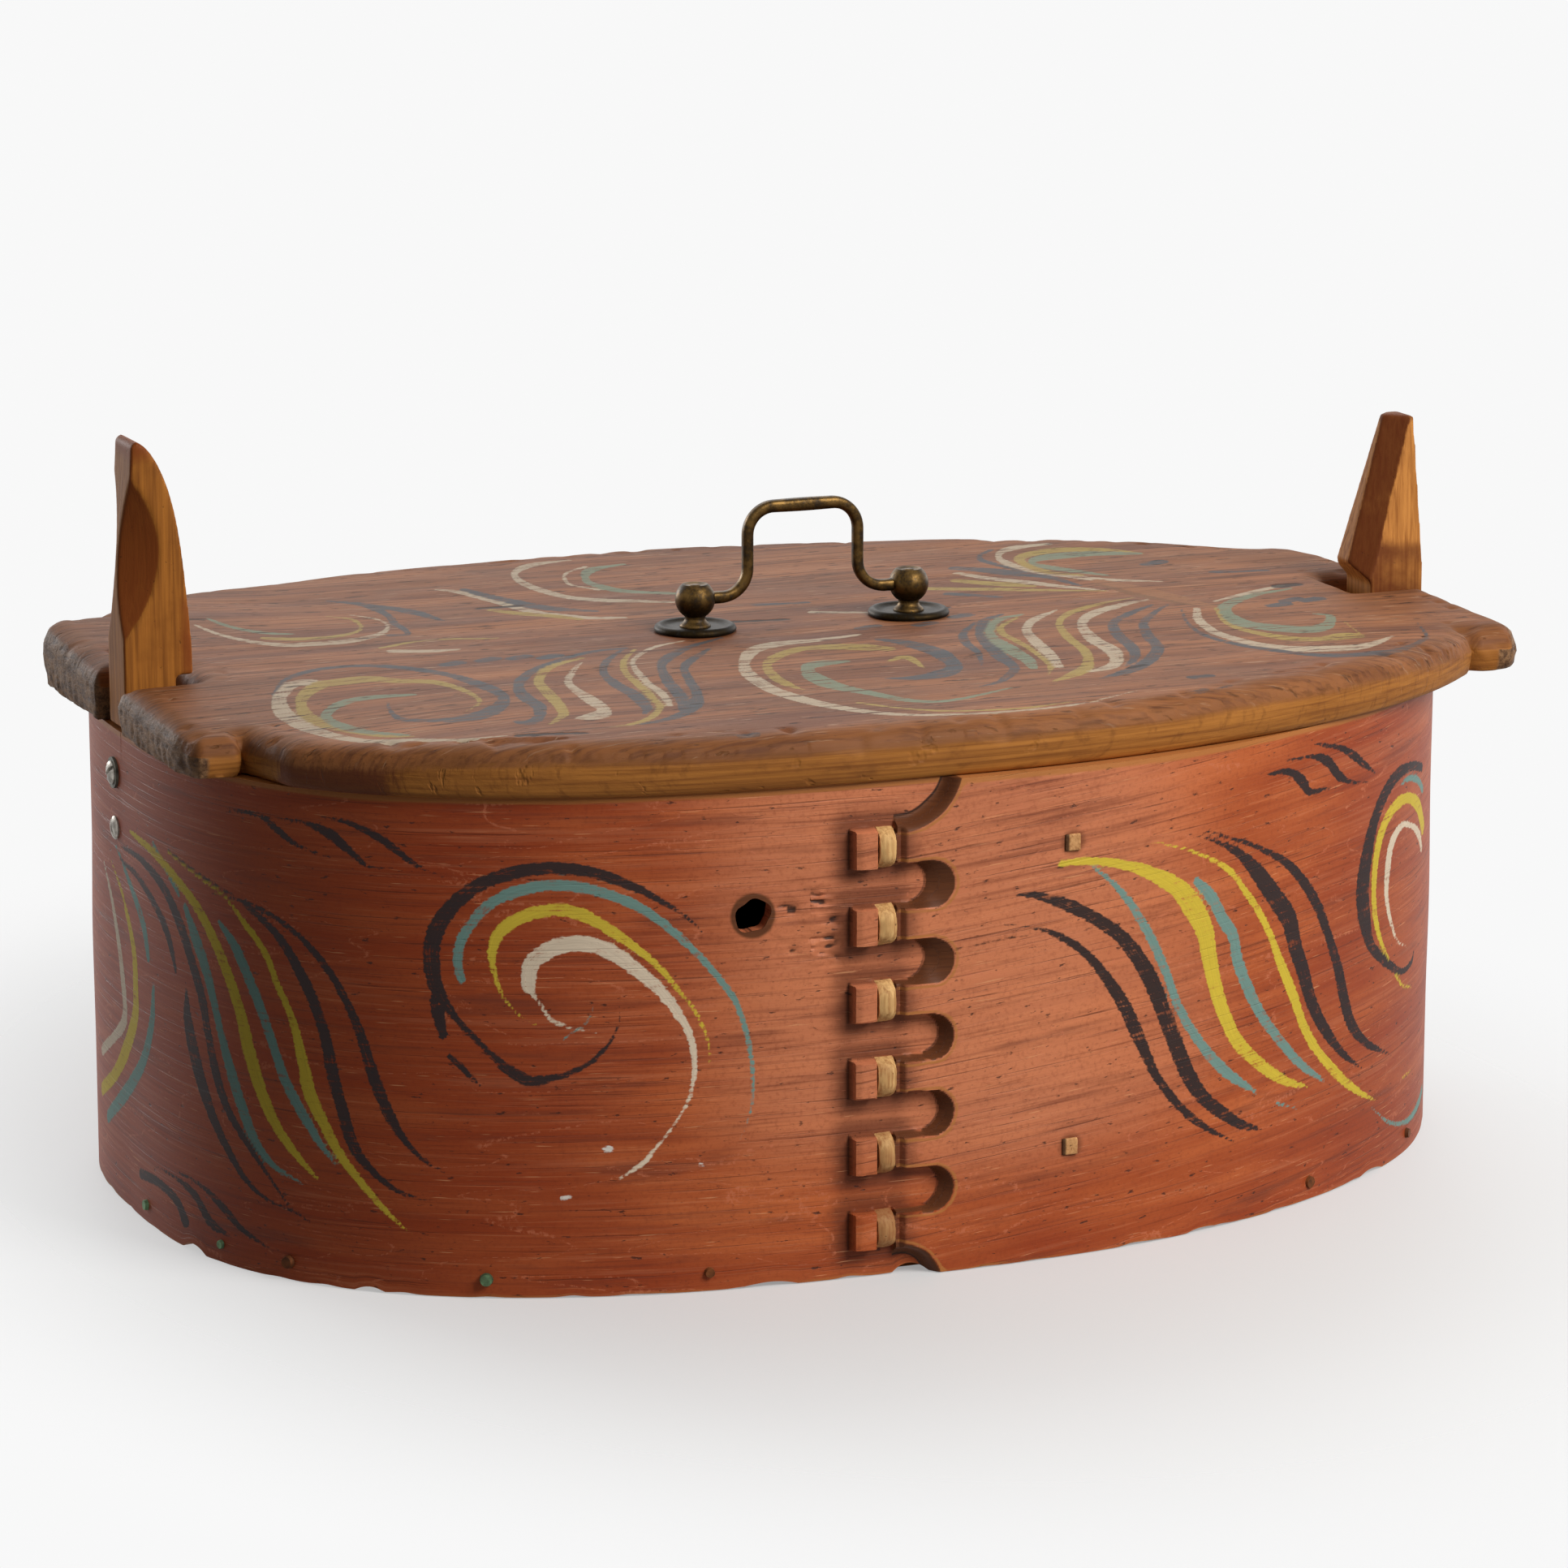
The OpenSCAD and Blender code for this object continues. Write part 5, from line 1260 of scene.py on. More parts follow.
# %% The lid's board
RING_STEP, RING_CLEAR, LID_STEP = 1.2 * MM, 0.75 * MM, 1.3 * MM
# The sides' rings: share of the way down, and millimetres outwards.
LID_SIDES = ((0.10, 0.15), (0.3, 0.2), (0.55, 0.0), (0.8, -0.4), (0.95, -1.0), (1.0, -1.8))
lid_ring = eased(resampled(lid_corners(), RING_STEP), 3)
lid_inside = inside_grid(lid_ring, LID_STEP)
lid_depth = distance_to(lid_ring, lid_inside)
lid_inside, lid_depth = lid_inside[lid_depth > RING_CLEAR], lid_depth[lid_depth > RING_CLEAR]
lid_plan = np.vstack([lid_ring, lid_inside])
lid_depth = np.concatenate([np.zeros(len(lid_ring)), lid_depth])
corners = [Vector(spot) for spot in lid_plan.tolist()]
sheet = geometry.delaunay_2d_cdt(corners, [], [list(range(len(lid_ring)))], 1, 1e-7)
lid_plan = np.array([tuple(p) for p in sheet[0]])
top_faces = [list(face) for face in sheet[2]]


def tab_share(x):
    """0 on the oval, 1 at the tabs' ends."""
    return smooth_step(np.abs(x), 205 * MM, 230 * MM)


def lid_warp(x, y):
    """The board has twisted: its left end is high at the back, and both ends hang at the front."""
    across = np.clip(y / TAB_HALF, -1, 1)
    left = smooth_step(-x, 130 * MM, 237 * MM) * np.where(y > 0, 4.6 * np.abs(across) ** 1.6, 3.8 * across)
    right = smooth_step(x, 150 * MM, 240 * MM) * np.minimum(across, 0) * 2.6
    return (left + right) * MM


def lid_top_height(x, y, depth):
    """The worn top: rounded near the edge, rippled, twisted and dented."""
    wide = (9 + 3 * (value_noise(x / 0.02, y / 0.02, 31) - 0.5)) * MM
    drop = (6.0 + 1.5 * smooth_step(x, 222 * MM, 240 * MM)) * MM
    share = np.clip(1 - depth / wide, 0, 1)
    rounded = drop * (1 - np.sqrt(np.maximum(1 - share ** 2, 0)))
    ripple = (value_noise(x / 0.03, y / 0.012, 32) - 0.5) * 0.6 * MM
    dent = value_noise(x / 0.007, y / 0.005, 33) ** 6 * 2.0 * MM * (depth < 12 * MM)
    return LID_TOP - 0.3 * MM - rounded + ripple + lid_warp(x, y) - dent


top = np.column_stack([lid_plan, lid_top_height(lid_plan[:, 0], lid_plan[:, 1], lid_depth)])
ring_count = len(lid_ring)
way = unit(np.roll(lid_ring, -1, 0) - np.roll(lid_ring, 1, 0))
outward = np.column_stack([way[:, 1], -way[:, 0]])
lid_points, lid_faces = [top], top_faces
edge_z = top[:ring_count, 2]
previous = np.arange(ring_count)
count = len(top)
for share, out in LID_SIDES:
    patch = value_noise(lid_ring[:, 0] / 0.003, lid_ring[:, 1] / 0.003 + share * 9, 35) - 0.5
    rough = patch * 1.4 * tab_share(lid_ring[:, 0])
    plan = lid_ring + outward * ((out + rough) * MM)[:, None]
    plan = np.clip(plan, (LID_LOW.x, LID_LOW.y), (LID_HIGH.x, LID_HIGH.y))
    lid_points.append(np.column_stack([plan, edge_z + (LID_UNDER - edge_z) * share]))
    row = np.arange(count, count + ring_count)
    lid_faces += np.column_stack([previous, row, np.roll(row, -1), np.roll(previous, -1)]).tolist()
    previous = row
    count += ring_count
lid_faces.append(previous[::-1].tolist())
lid_points = np.vstack(lid_points)
print("lid points", len(lid_points), "on top", len(top))

# %% [markdown]
# ## The lid's paint and wear
# Where the rim is bare, where the ends are torn and where the board has split is worked out from each
# vertex's place, and kept as attributes for the finish.

# %% The lid's paint and wear
side_count = len(lid_points) - len(top)
lid_paint = painted(lid_points[:, :2], lid_strokes)
lid_paint["paint_edge"][:len(top)] -= smooth_step(lid_depth, 8 * MM, 3 * MM) * 3
lid_paint["paint_edge"][len(top):] = NO_PAINT
on_rim = np.concatenate([smooth_step(lid_depth, 17 * MM, 3 * MM), np.ones(side_count)])
end_x = np.abs(lid_points[:, 0])
torn_share = np.concatenate([np.zeros(len(top)), smooth_step(end_x[len(top):], 226 * MM, 232 * MM)])
torn_share = np.maximum(torn_share, smooth_step(end_x, 233 * MM, 236.5 * MM) * 0.8)
SLITS = [("bare", (1577, 721, 5), (1596, 719, 4)), ("bare", (1392, 823, 3), (1410, 819, 3)),
         ("bare", (590, 748, 2), (640, 745, 2)), ("bare", (905, 765, 2), (968, 762, 2)),
         ("bare", (1100, 752, 2), (1168, 747, 2)), ("bare", (640, 905, 3), (720, 902, 2))]
slits = painted(lid_points[:, :2], traced(SLITS, LID_COLOURS, on_lid))["paint_edge"]
rim_x, rim_y = lid_points[:, 0], lid_points[:, 1]
# Painted shade on the rim at the left front shoulder, which stays red-brown.
red_shaded_edge = hump(rim_x, -213 * MM, -210 * MM, -196 * MM, -172 * MM) * (rim_y < 0)
red_shaded_edge = red_shaded_edge * np.concatenate([smooth_step(lid_depth, 7 * MM, 2 * MM), np.ones(side_count)])
low_rim = smooth_step(LID_TOP + lid_warp(rim_x, rim_y) - lid_points[:, 2], 3.5 * MM, 11 * MM)
lid_attributes = dict(lid_paint, bare=on_rim, torn=torn_share, crack=smooth_step(slits, -0.5, 0.3),
                      red_shaded_edge=red_shaded_edge, low_rim=low_rim)
lid = make_object("lid_board_worn", lid_points, lid_faces, lid_material, lid_attributes, 60)
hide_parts("lid_board")
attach(lid, "lid")
print("lid faces", len(lid.data.polygons))


# %% [markdown]
# ## Carved posts
# The posts are springy, are cut with a knife and lock the lid. Their frame shapes are right but sharp, so a
# copy is remeshed to small even faces and smoothed, which rounds every edge as handling does. A bevel
# would need clean edges, which a triangulated copy doesn't have.

# %% Carved posts
FIN_LEAN = 4 * MM
POST_VOXEL, POST_EASE = 0.8 * MM, 4
# Heights and an X in metres, between which a stain or the lean begins and is full.
LEAN_Z, TIP_Z, RED_X, RED_Z = (0.200, 0.262), (0.245, 0.256), (-0.219, -0.212), (0.225, 0.195)
CROWN_Z, RED_FOOT_Z = (0.233, 0.237), (0.200, 0.190)


def plain_mesh(made):
    """The object's mesh with its modifiers applied."""
    graph = bpy.context.evaluated_depsgraph_get()
    mesh = bpy.data.meshes.new_from_object(made.evaluated_get(graph))
    made.modifiers.clear()
    made.data = mesh
    return made


def worn_copy(name, node, voxel, turns, material):
    """A copy of a frame node, remeshed to small faces and smoothed so many turns."""
    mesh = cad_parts[node].data.copy()
    mesh.name = name
    shape = bmesh.new()
    shape.from_mesh(mesh)
    bmesh.ops.remove_doubles(shape, verts=shape.verts, dist=0.01 * MM)
    shape.to_mesh(mesh)
    shape.free()
    made = linked(name, mesh)
    cut = made.modifiers.new("voxels", "REMESH")
    cut.mode = "VOXEL"
    cut.voxel_size = voxel
    ease = made.modifiers.new("wear", "SMOOTH")
    ease.iterations = turns
    plain_mesh(made)
    made.data.materials.clear()
    made.data.materials.append(material)
    made.data.shade_smooth()
    return made


def vertex_arrays(made):
    """The mesh's places and normals, a row for each vertex."""
    count = len(made.data.vertices)
    place, normal = np.empty(count * 3, np.float32), np.empty(count * 3, np.float32)
    made.data.vertices.foreach_get("co", place)
    made.data.vertex_normals.foreach_get("vector", normal)
    return place.reshape(-1, 3).astype(float), normal.reshape(-1, 3).astype(float)


def set_value(made, key, values):
    held = made.data.attributes.new(key, "FLOAT", "POINT")
    held.data.foreach_set("value", np.asarray(values, np.float32))


left_post = worn_copy("left_post_carved", "left_post", POST_VOXEL, POST_EASE, dark_post_material)
place, normal = vertex_arrays(left_post)
place[:, 0] += smooth_step(place[:, 2], *LEAN_Z) * FIN_LEAN
left_post.data.vertices.foreach_set("co", place.astype(np.float32).ravel())
scooped = smooth_step(-normal[:, 0], 0.25, 0.6) * smooth_step(-normal[:, 1], 0.15, 0.4)
tip = smooth_step(place[:, 2], *TIP_Z)
red_side = smooth_step(place[:, 0], *RED_X) * smooth_step(-normal[:, 1], 0.3, 0.8)
red_side = red_side * smooth_step(place[:, 2], *RED_Z)
set_value(left_post, "stain_and_shade", np.clip(scooped + tip * 0.8 + red_side * 0.75, 0, 1))
right_post = worn_copy("right_post_carved", "right_post", POST_VOXEL, POST_EASE, post_material)
place, normal = vertex_arrays(right_post)
# Painted shade: faces turned to the left front are darkened.
inner = smooth_step(-normal[:, 0], 0.3, 0.6) * smooth_step(-normal[:, 1], 0.1, 0.35)
red_foot = smooth_step(place[:, 2], *RED_FOOT_Z) * smooth_step(-normal[:, 1], 0.3, 0.8)
crown = smooth_step(place[:, 2], *CROWN_Z)
set_value(right_post, "stain_and_shade", np.clip(inner * 0.9 + red_foot * 0.7 + crown * 0.8, 0, 1))
for piece, body in ((left_post, "left_post"), (right_post, "right_post")):
    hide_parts(body)
    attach(piece, body)
    print(piece.name, len(piece.data.polygons), "faces")


# %% [markdown]
# ## Turned brass
# The handle is bought hardware: two dished roses and two ball-headed pillars, turned on a lathe. Turning a
# profile about an axis makes them the same way.

# %% Turned brass
def tube_faces(rings, sides):
    """Faces of a closed tube of so many rings, each with so many sides."""
    index = np.arange(rings * sides).reshape(rings, sides)
    faces = [quad for pair in zip(index, index[1:]) for quad in ring_quads(*pair)]
    return faces + [index[-1].tolist(), index[0, ::-1].tolist()]


def lathe(profile, middle, turns=56):
    """Points and faces of a profile of radius and height turned about a vertical line."""
    angles = np.linspace(0, 2 * math.pi, turns, endpoint=False)
    x, y = np.cos(angles), np.sin(angles)
    rings = [np.column_stack([middle[0] + r * x, middle[1] + r * y, np.full(turns, z)]) for r, z in profile]
    return np.vstack(rings), tube_faces(len(profile), turns)


# Radius and height above the lid, in millimetres.
ROSE = [(13.8, 0), (14, 0.7), (13.6, 1.6), (12.9, 2.1), (12.0, 2.2), (11.2, 1.8), (10.4, 1.25), (8.5, 1.1),
        (6.0, 1.2), (0.4, 1.2)]
BALL_RADIUS, BALL_UP = 6.8, 10.6
PILLAR = [(5.2, 1.0), (5.3, 1.6), (4.9, 2.2), (4.0, 2.9), (3.5, 3.8), (3.6, 4.5)]
PILLAR += [(BALL_RADIUS * math.cos(math.radians(a)), BALL_UP + BALL_RADIUS * math.sin(math.radians(a)))
           for a in range(-58, 51, 9)]
PILLAR += [(4.0, 15.75), (3.5, 15.5), (2.6, 15.2), (1.9, 15.2), (1.7, 15.5), (0.9, 15.7), (0.2, 15.7)]
for side in ("left", "right"):
    low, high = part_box(side + "_rose")
    middle = (low + high) / 2
    turned = ((ROSE, side + "_rose", rose_material), (PILLAR, side + "_pillar", brass_material))
    for profile, node, material in turned:
        rows = [(r * MM, LID_TOP + z * MM) for r, z in profile]
        points, faces = lathe(rows, middle)
        piece = make_object(node + "_turned", points, faces, material, {}, 50)
        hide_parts(node)
        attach(piece, "lid")
        print(piece.name, len(piece.data.polygons), "faces")

# %% [markdown]
# ## The bail
# The bail is a bent rod, thicker at its grip and at its feet. A curve with a bevel could do it. A ring of
# points swept along the path is used, so that the rod can be slightly square, as a forged one is.

# %% The bail
bail_low, bail_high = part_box("bail")
BAIL_BEND = 9.4 * MM
LEG_HALF = 20.2 * MM
BAIL_RADIUS, BAIL_SIDES = 2.0, 20
bail_x, bail_y = (bail_low.x + bail_high.x) / 2, (bail_low.y + bail_high.y) / 2
bail_base, bail_top = LID_TOP + BALL_UP * MM, bail_high.z - 2.3 * MM
bail_reach = (bail_high.x - bail_low.x) / 2


def arc_points(middle, start, end, count=14):
    angles = np.radians(np.linspace(start, end, count))
    return [(middle[0] + BAIL_BEND * math.cos(a), middle[1] + BAIL_BEND * math.sin(a)) for a in angles]


half_path = [(bail_reach, bail_base), (bail_reach - 3 * MM, bail_base)]
half_path += arc_points((LEG_HALF + BAIL_BEND, bail_base + BAIL_BEND), 270, 180)
half_path += arc_points((LEG_HALF - BAIL_BEND, bail_top - BAIL_BEND), 0, 90)
half_path += [(x * MM, bail_top) for x in (8, 6, 4, 2)]
bail_path = np.array(half_path + [(0, bail_top)] + [(-x, z) for x, z in half_path[::-1]])
bail_way = unit(np.gradient(bail_path, axis=0))
bail_run = np.linspace(-1, 1, len(bail_path))
grip = 0.45 * np.exp(-(bail_run / 0.25) ** 2)
feet = 0.35 * np.exp(-((np.abs(bail_run) - 1) / 0.08) ** 2)
bail_thick = BAIL_RADIUS + grip + feet
points = []
for (x, z), (wx, wz), thick in zip(bail_path, bail_way, bail_thick):
    for k in range(BAIL_SIDES):
        turn = 2 * math.pi * k / BAIL_SIDES
        across, aside = math.cos(turn), math.sin(turn)
        flat = max(abs(across), abs(aside)) ** 0.55
        r = thick * MM / max(flat, 0.8) * 0.93
        points.append((bail_x + x - wz * across * r, bail_y + aside * r, z + wx * across * r))
faces = tube_faces(len(bail_path), BAIL_SIDES)
bail = make_object("bail_forged", points, faces, brass_material, {}, 45)
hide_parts("bail")
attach(bail, "bail")
print("bail", len(points), "points")


# %% [markdown]
# ## Slotted screws
# Two slotted screws hold the left post from outside. Each head is a grid pressed into a dome with the slot
# pushed in, which keeps it one closed mesh. The washer of the upper one is the frame's own.

# %% Slotted screws
HEAD_CELLS = 24
SLOT_DEEP, SLOT_WIDE, SLOT_NARROW = 1.1 * MM, 0.75 * MM, 0.5 * MM
HEAD_RIM = 1.2 * MM


def screw_head(node, name, slot_turn, dome):
    """A domed head with a cut slot, facing the left end."""
    low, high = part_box(node)
    face, middle = low.x, (low + high) / 2
    radius = (high.z - low.z) / 2
    grid = np.arange(-HEAD_CELLS, HEAD_CELLS + 1) * (radius / HEAD_CELLS)
    y, z = [g.ravel() for g in np.meshgrid(grid, grid, indexing="ij")]
    away = np.hypot(y, z)
    stretch = np.maximum(np.abs(y), np.abs(z)) / np.maximum(away, 1e-9)
    y, z = y * stretch, z * stretch
    away = np.hypot(y, z) / radius
    rise = dome * np.sqrt(np.maximum(1 - away ** 2 * 0.96, 0))
    across = np.abs(y * math.cos(slot_turn) + z * math.sin(slot_turn))
    rise = rise - SLOT_DEEP * smooth_step(across, SLOT_WIDE, SLOT_NARROW)
    points = np.column_stack([face + dome - rise, middle.y + y, middle.z + z])
    index = np.arange(len(grid) ** 2).reshape(len(grid), -1)
    quads = np.stack([index[:-1, :-1], index[:-1, 1:], index[1:, 1:], index[1:, :-1]], -1)
    edge = np.concatenate([index[0, :-1], index[:-1, -1], index[-1, :0:-1], index[:0:-1, 0]])
    rim = np.arange(len(edge)) + len(points)
    faces = quads.reshape(-1, 4).tolist() + ring_quads(rim, edge) + [rim.tolist()]
    points = np.vstack([points, points[edge] + np.array((HEAD_RIM, 0, 0))])
    made = make_object(name, points, faces, steel_material, {}, 35)
    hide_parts(node)
    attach(made, "box")
    print(name, len(faces), "faces")


screw_head("left_screw_upper", "upper_screw_head", 0.9, 1.5 * MM)
screw_head("left_screw_lower", "lower_screw_head", -0.5, 1.4 * MM)


# %% [markdown]
# ## Trees that place pegs and straps
# Pegs, nails and root straps repeat, so they are grown by Geometry Nodes: one shape, copied to points, each
# copy a little different by a fixed seed. Copying meshes in a loop would also work, but here a size is one
# named input.

# %% Trees that place pegs and straps
ROUGH_SCALE = 420.0


def node_tree(name, inputs):
    """An empty tree with these inputs, and the sockets that give them."""
    tree = bpy.data.node_groups.new(name, "GeometryNodeTree")
    tree.interface.new_socket(name="Geometry", in_out="INPUT", socket_type="NodeSocketGeometry")
    for key, kind in dict(inputs, Roughness="Float", Seed="Int", Material="Material").items():
        tree.interface.new_socket(name=key, in_out="INPUT", socket_type="NodeSocket" + kind)
    tree.interface.new_socket(name="Geometry", in_out="OUTPUT", socket_type="NodeSocketGeometry")
    return tree, tree.nodes.new("NodeGroupInput").outputs


def add(tree, kind, sockets, **settings):
    """The outputs of a new node with these inputs and settings."""
    node = tree.nodes.new(kind)
    for key, setting in settings.items():
        setattr(node, key, setting)
    for key, given in sockets.items():
        if isinstance(given, bpy.types.NodeSocket):
            tree.links.new(given, node.inputs[key])
        else:
            node.inputs[key].default_value = given
    return node.outputs


def maths(tree, operation, *values):
    return add(tree, "ShaderNodeMath", dict(enumerate(values)), operation=operation)[0]


def scattered(tree, given, shape, rotation, scale):
    """Copies of the shape on the points, made real, roughened and given their material."""
    copies = add(tree, "GeometryNodeInstanceOnPoints", {"Points": given["Geometry"], "Instance": shape,
                                                        "Rotation": rotation, "Scale": scale})
    solid = add(tree, "GeometryNodeRealizeInstances", {"Geometry": copies[0]})
    where = add(tree, "GeometryNodeInputPosition", {})
    noise = add(tree, "ShaderNodeTexNoise", {"Vector": where[0], "Scale": ROUGH_SCALE, "Detail": 2.0})
    centred = add(tree, "ShaderNodeVectorMath", {0: noise["Color"], 1: (0.5, 0.5, 0.5)}, operation="SUBTRACT")
    small = add(tree, "ShaderNodeVectorMath", {0: centred[0], "Scale": given["Roughness"]}, operation="SCALE")
    rough = add(tree, "GeometryNodeSetPosition", {"Geometry": solid[0], "Offset": small[0]})
    dressed = add(tree, "GeometryNodeSetMaterial", {"Geometry": rough[0], "Material": given["Material"]})
    add(tree, "NodeGroupOutput", {0: dressed[0]})
    return tree


# %% [markdown]
# ## A tree of pegs and a tree of straps
# A peg is a stub with a slight taper. A strap is a slab that bows back towards its ends and edges, as a split
# root does when it is pulled tight. They could be modelled by hand, but a plain shape bent by a little
# arithmetic is enough at this size.

# %% A tree of pegs and a tree of straps
PEG_SIDES, PEG_TAPER = 14, 0.86
PEG_SMALLEST, PEG_LARGEST = 0.75, 1.1
STRAP_TILT, STRAP_EDGE = 0.10, 0.8 * MM
STRAP_SMALLEST, STRAP_LARGEST = (0.82, 1.0, 0.95), (1.0, 1.05, 1.04)


def peg_tree():
    """Stubs with a slight taper that look along the points' facing."""
    tree, given = node_tree("pegs", {"Radius": "Float", "Depth": "Float"})
    narrow = maths(tree, "MULTIPLY", given["Radius"], PEG_TAPER)
    stub = add(tree, "GeometryNodeMeshCone", {"Vertices": PEG_SIDES, "Side Segments": 2, "Radius Top": narrow,
                                              "Radius Bottom": given["Radius"], "Depth": given["Depth"]},
               fill_type="NGON")
    facing = add(tree, "GeometryNodeInputNamedAttribute", {"Name": "facing"}, data_type="FLOAT_VECTOR")
    turn = add(tree, "FunctionNodeAlignRotationToVector", {"Vector": facing[0]}, axis="Z")
    size = add(tree, "FunctionNodeRandomValue", {2: PEG_SMALLEST, 3: PEG_LARGEST, "Seed": given["Seed"]},
               data_type="FLOAT")
    return scattered(tree, given, stub["Mesh"], turn[0], size[1])


def strap_tree():
    """Slabs bowed back towards their ends and edges."""
    tree, given = node_tree("straps", {"Size": "Vector", "Bulge": "Float"})
    slab = add(tree, "GeometryNodeMeshCube", {"Size": given["Size"], "Vertices X": 9, "Vertices Y": 3,
                                              "Vertices Z": 19})
    where = add(tree, "ShaderNodeSeparateXYZ", {0: add(tree, "GeometryNodeInputPosition", {})[0]})
    size = add(tree, "ShaderNodeSeparateXYZ", {0: given["Size"]})

    def bow(axis, power):
        share = maths(tree, "DIVIDE", where[axis], maths(tree, "MULTIPLY", size[axis], 0.5))
        return maths(tree, "POWER", maths(tree, "ABSOLUTE", share), power)

    drop = maths(tree, "MULTIPLY", bow("Z", 3.2), given["Bulge"])
    edge = maths(tree, "MULTIPLY", bow("X", 2.4), STRAP_EDGE)
    offset = add(tree, "ShaderNodeCombineXYZ", {"Y": maths(tree, "ADD", drop, edge)})
    bent = add(tree, "GeometryNodeSetPosition", {"Geometry": slab["Mesh"], "Offset": offset[0]})
    limits = (((0.0, -STRAP_TILT, 0.0), (0.0, STRAP_TILT, 0.0)), (STRAP_SMALLEST, STRAP_LARGEST))
    tilt, stretch = [add(tree, "FunctionNodeRandomValue", {0: low, 1: high, "Seed": given["Seed"]},
                         data_type="FLOAT_VECTOR")[0] for low, high in limits]
    return scattered(tree, given, bent[0], tilt, stretch)


# %% [markdown]
# ## Pegs, nails and root straps
# Pegs and copper nails hold the bottom board along the foot of the wall, and a split root crosses the neck
# of each finger. The grown result is turned into a plain mesh, because instances would be lost in the export.

# %% Pegs, nails and root straps
PEG_OUT, PEG_Z = 0.1 * MM, 6 * MM
STRAP_X, STRAP_OUT = -33.75 * MM, 4.4 * MM


def grown(name, tree, places, facing, settings):
    """A plain mesh grown from points by a tree whose inputs are set by name."""
    mesh = bpy.data.meshes.new(name)
    mesh.from_pydata(np.asarray(places, float).tolist(), [], [])
    held = mesh.attributes.new("facing", "FLOAT_VECTOR", "POINT")
    held.data.foreach_set("vector", np.asarray(facing, np.float32).ravel())
    made = linked(name, mesh)
    grower = made.modifiers.new("grown", "NODES")
    grower.node_group = tree
    for item in tree.interface.items_tree:
        if item.in_out == "INPUT" and item.name in settings:
            grower[item.identifier] = settings[item.name]
    made.update_tag()
    plain_mesh(made)
    made.data.shade_smooth()
    made.data.set_sharp_from_angle(angle=math.radians(50))
    return made


def edge_places(shares, side):
    """Places and outward ways along the lower edge; side is -1 for the front and 1 for the back."""
    run = front_run(np.array(shares) * HALF_LENGTH)
    angle = angle_at(run) * (1 if side < 0 else -1)
    base = oval(angle, 0)
    away = unit(oval(angle, 1 * MM) - base)
    return (np.column_stack([base + away * PEG_OUT, np.full(len(base), PEG_Z)]),
            np.column_stack([away, np.zeros(len(base))]))


# Where along the wall they are, as shares of half its length.
FRONT_PEGS = [-0.9, -0.39, -0.02, 0.26, 0.56, 0.81]
BACK_PEGS = [-0.88, -0.58, -0.26, 0.06, 0.38, 0.68]
NAILS = [-0.999, -0.96, -0.68]
pegs, straps = peg_tree(), strap_tree()
front_place, front_way = edge_places(FRONT_PEGS, -1)
back_place, back_way = edge_places(BACK_PEGS, 1)
edge_pegs = grown("edge_pegs", pegs, np.vstack([front_place, back_place]), np.vstack([front_way, back_way]),
                  {"Radius": 2.2 * MM, "Depth": 1.6 * MM, "Roughness": 0.5 * MM, "Seed": 4,
                   "Material": peg_material})
nail_place, nail_way = edge_places(NAILS, -1)
edge_nails = grown("edge_nails", pegs, nail_place, nail_way,
                   {"Radius": 2.0 * MM, "Depth": 1.4 * MM, "Roughness": 0.25 * MM, "Seed": 9,
                    "Material": copper_material})
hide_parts("bottom_pegs")
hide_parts("bottom_nails")
finger_z = (LOWEST_FINGER + FINGER_PITCH * np.arange(FINGERS)) * MM
strap_base = oval(angle_at(front_run(STRAP_X)), STRAP_OUT)
strap_places = np.column_stack([np.full(FINGERS, strap_base[0]), np.full(FINGERS, strap_base[1]), finger_z])
root_straps = grown("root_straps", straps, strap_places, np.zeros((FINGERS, 3)),
                    {"Size": (6.4 * MM, 1.6 * MM, 12.9 * MM), "Bulge": 4.0 * MM, "Roughness": 0.55 * MM,
                     "Seed": 3, "Material": root_material})
place, _ = vertex_arrays(root_straps)
# Straps lower on the wall are darker.
set_value(root_straps, "stain_and_shade", np.clip(0.75 - place[:, 2] / WALL_TOP * 0.7, 0, 1))
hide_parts(*["root_stitch_" + str(number + 1) for number in range(FINGERS)])
for piece, slot in ((edge_pegs, "peg_wood"), (edge_nails, "nail"), (root_straps, "root_fibre")):
    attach(piece, "box")
    print(piece.name, len(piece.data.polygons), "faces")

# %% [markdown]
# ## Whittled lap pegs
# Two square pegs go through the lap. They are cut by knife, stand a little proud and are pale, with painted
# shade darkening their left sides. The frame's shape is kept and only worn round.

# %% Whittled lap pegs
lap_pegs = worn_copy("lap_pegs_whittled", "lap_pegs", 0.35 * MM, 6, lap_peg_material)
place, _ = vertex_arrays(lap_pegs)
across = (place[:, 0] - peg_low.x) / (peg_high.x - peg_low.x)
# Painted shade: the pegs' left sides are darkened.
set_value(lap_pegs, "stain_and_shade", smooth_step(across, 0.45, 0.1))
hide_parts("lap_pegs")
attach(lap_pegs, "box")
print(lap_pegs.name, len(lap_pegs.data.polygons), "faces")

# %% [markdown]
# ## Frame pieces that stay
# The bottom board, the hidden pegs, the washer and the nuts are plain shapes that the frame already has. They
# only need a finish, which goes into their material slots.

# %% Frame pieces that stay
KEPT = {"bottom_board": bottom_material, "right_post_pegs": peg_material,
        "left_screw_washer": washer_material, "left_nut": brass_material, "right_nut": brass_material}
for node, material in KEPT.items():
    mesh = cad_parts[node].data
    mesh.materials.clear()
    mesh.materials.append(material)
print("kept", sorted(KEPT))

# %% [markdown]
# ## Floor, light and world
# The box stands on white, as in a studio. A white room would work, but it is simpler to let camera, glossy
# and transmission rays see a white world, and to keep a floor only near the box, where its shadow falls.
# One warm key lamp stands at the right front, and three weak ones light the lid and both ends.

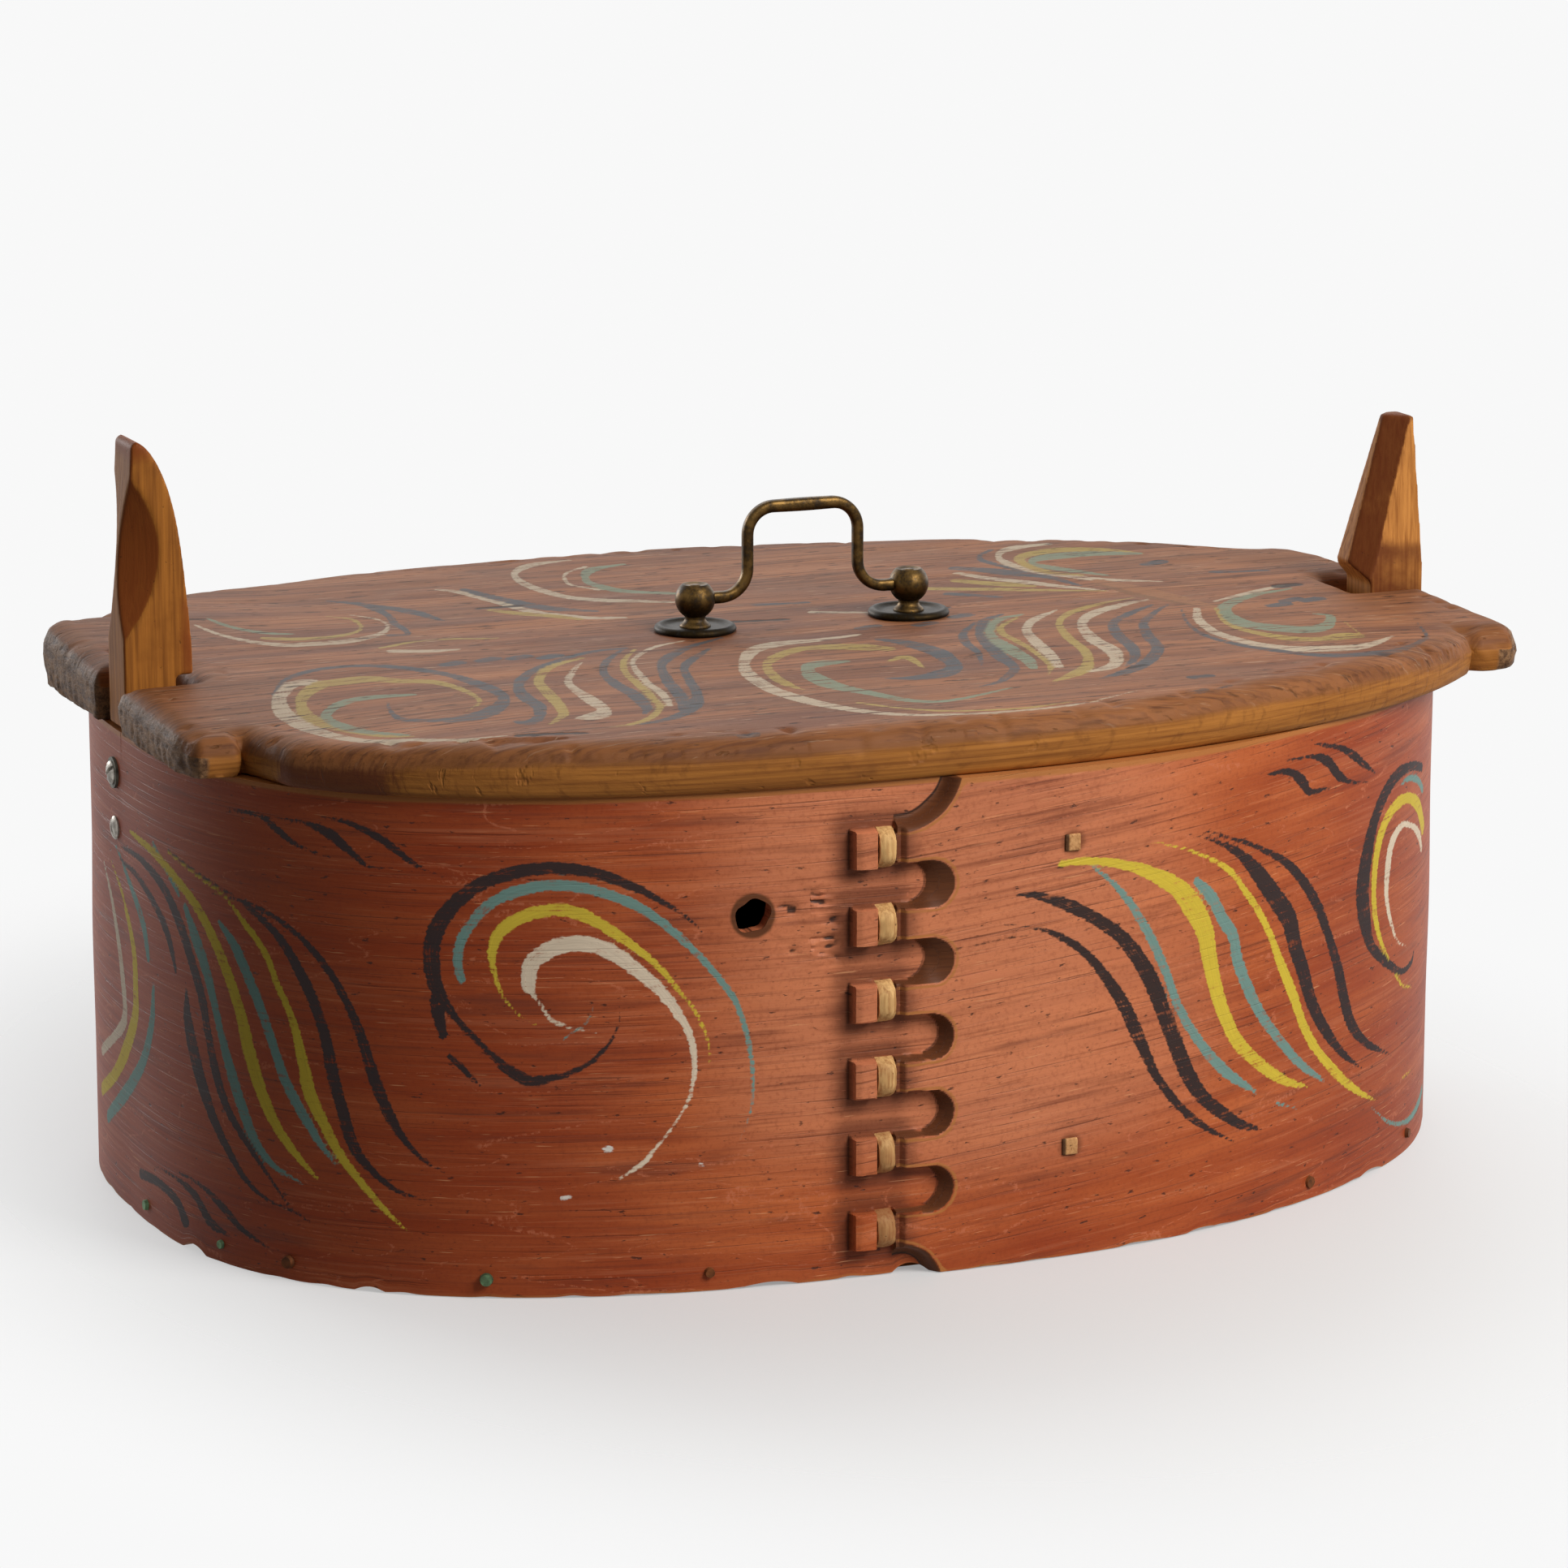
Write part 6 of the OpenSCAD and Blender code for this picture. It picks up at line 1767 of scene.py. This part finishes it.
# %% Floor, light and world
WHITE = (0.94, 0.94, 0.94, 1)
WORLD_LIGHT = 0.13
FLOOR_GLOW = (0.30, 0.30, 0.30, 1)
FLOOR_COLOUR = (0.46, 0.46, 0.46, 1)
FLOOR_FULL, FLOOR_GONE = 0.20, 0.52
FLOOR_HALF, FLOOR_Z = 1.2, -0.3 * MM
SEEN_RAYS = ("Is Camera Ray", "Is Glossy Ray", "Is Transmission Ray")
LAMP_AIM = Vector((0, 0, 0.1))

floor_finish = Finish("floor_white")
spot = floor_finish.stretch(floor_finish.place(), (1.4, 1.0, 0.0))
away = floor_finish.node("VectorMath", {"operation": "LENGTH"}, {0: spot}, "Value")
camera_ray, glossy_ray, clear_ray = [floor_finish.node("LightPath", {}, {}, ray) for ray in SEEN_RAYS]
glow = floor_finish.mix((camera_ray + glossy_ray + clear_ray).rise(0.0, 1.0), (0, 0, 0, 1), FLOOR_GLOW)
floor_material = floor_finish.surface({
    "Base Color": FLOOR_COLOUR, "Roughness": 0.55, "Specular IOR Level": 0.2, "Emission Color": glow,
    "Emission Strength": 1.0, "Alpha": away.rise(FLOOR_GONE, FLOOR_FULL)})
floor_corners = [(x * FLOOR_HALF, y * FLOOR_HALF, FLOOR_Z) for x, y in ((-1, -1), (1, -1), (1, 1), (-1, 1))]
floor = make_object("floor", floor_corners, [[0, 1, 2, 3]], floor_material, {})

world = bpy.data.worlds.new("studio")
bpy.context.scene.world = world
world.use_nodes = True
sky = world.node_tree
sky.nodes.clear()
path = add(sky, "ShaderNodeLightPath", {})
seen = add(sky, "ShaderNodeBackground", {"Color": WHITE})
lit = add(sky, "ShaderNodeBackground", {"Strength": WORLD_LIGHT})
shown = path[SEEN_RAYS[0]]
for ray in SEEN_RAYS[1:]:
    shown = maths(sky, "MAXIMUM", shown, path[ray])
either = add(sky, "ShaderNodeMixShader", {0: shown, 1: lit[0], 2: seen[0]})
add(sky, "ShaderNodeOutputWorld", {"Surface": either[0]})


def lamp(name, azimuth, elevation, far, size, power, colour=(1, 1, 1)):
    """A square lamp that looks at the box's middle from this bearing."""
    light = bpy.data.lights.new(name, "AREA")
    light.size = size
    light.energy = power
    light.color = colour
    way = bearing(azimuth, elevation)
    put(linked(name, light), LAMP_AIM + way * far, way.to_track_quat("Z", "Y"))


lamp("key", 27, 35, 1.25, 0.6, 15.0, (1.0, 0.98, 0.95))
lamp("overhead", 172, 40, 2.0, 1.5, 12)
lamp("left_edge", -155, 12, 2.0, 0.6, 14)
lamp("right_sheen", 112, 14, 2.0, 1.2, 7)
bpy.context.scene.view_settings.view_transform = "Standard"
print("lamps", len(bpy.data.lights))
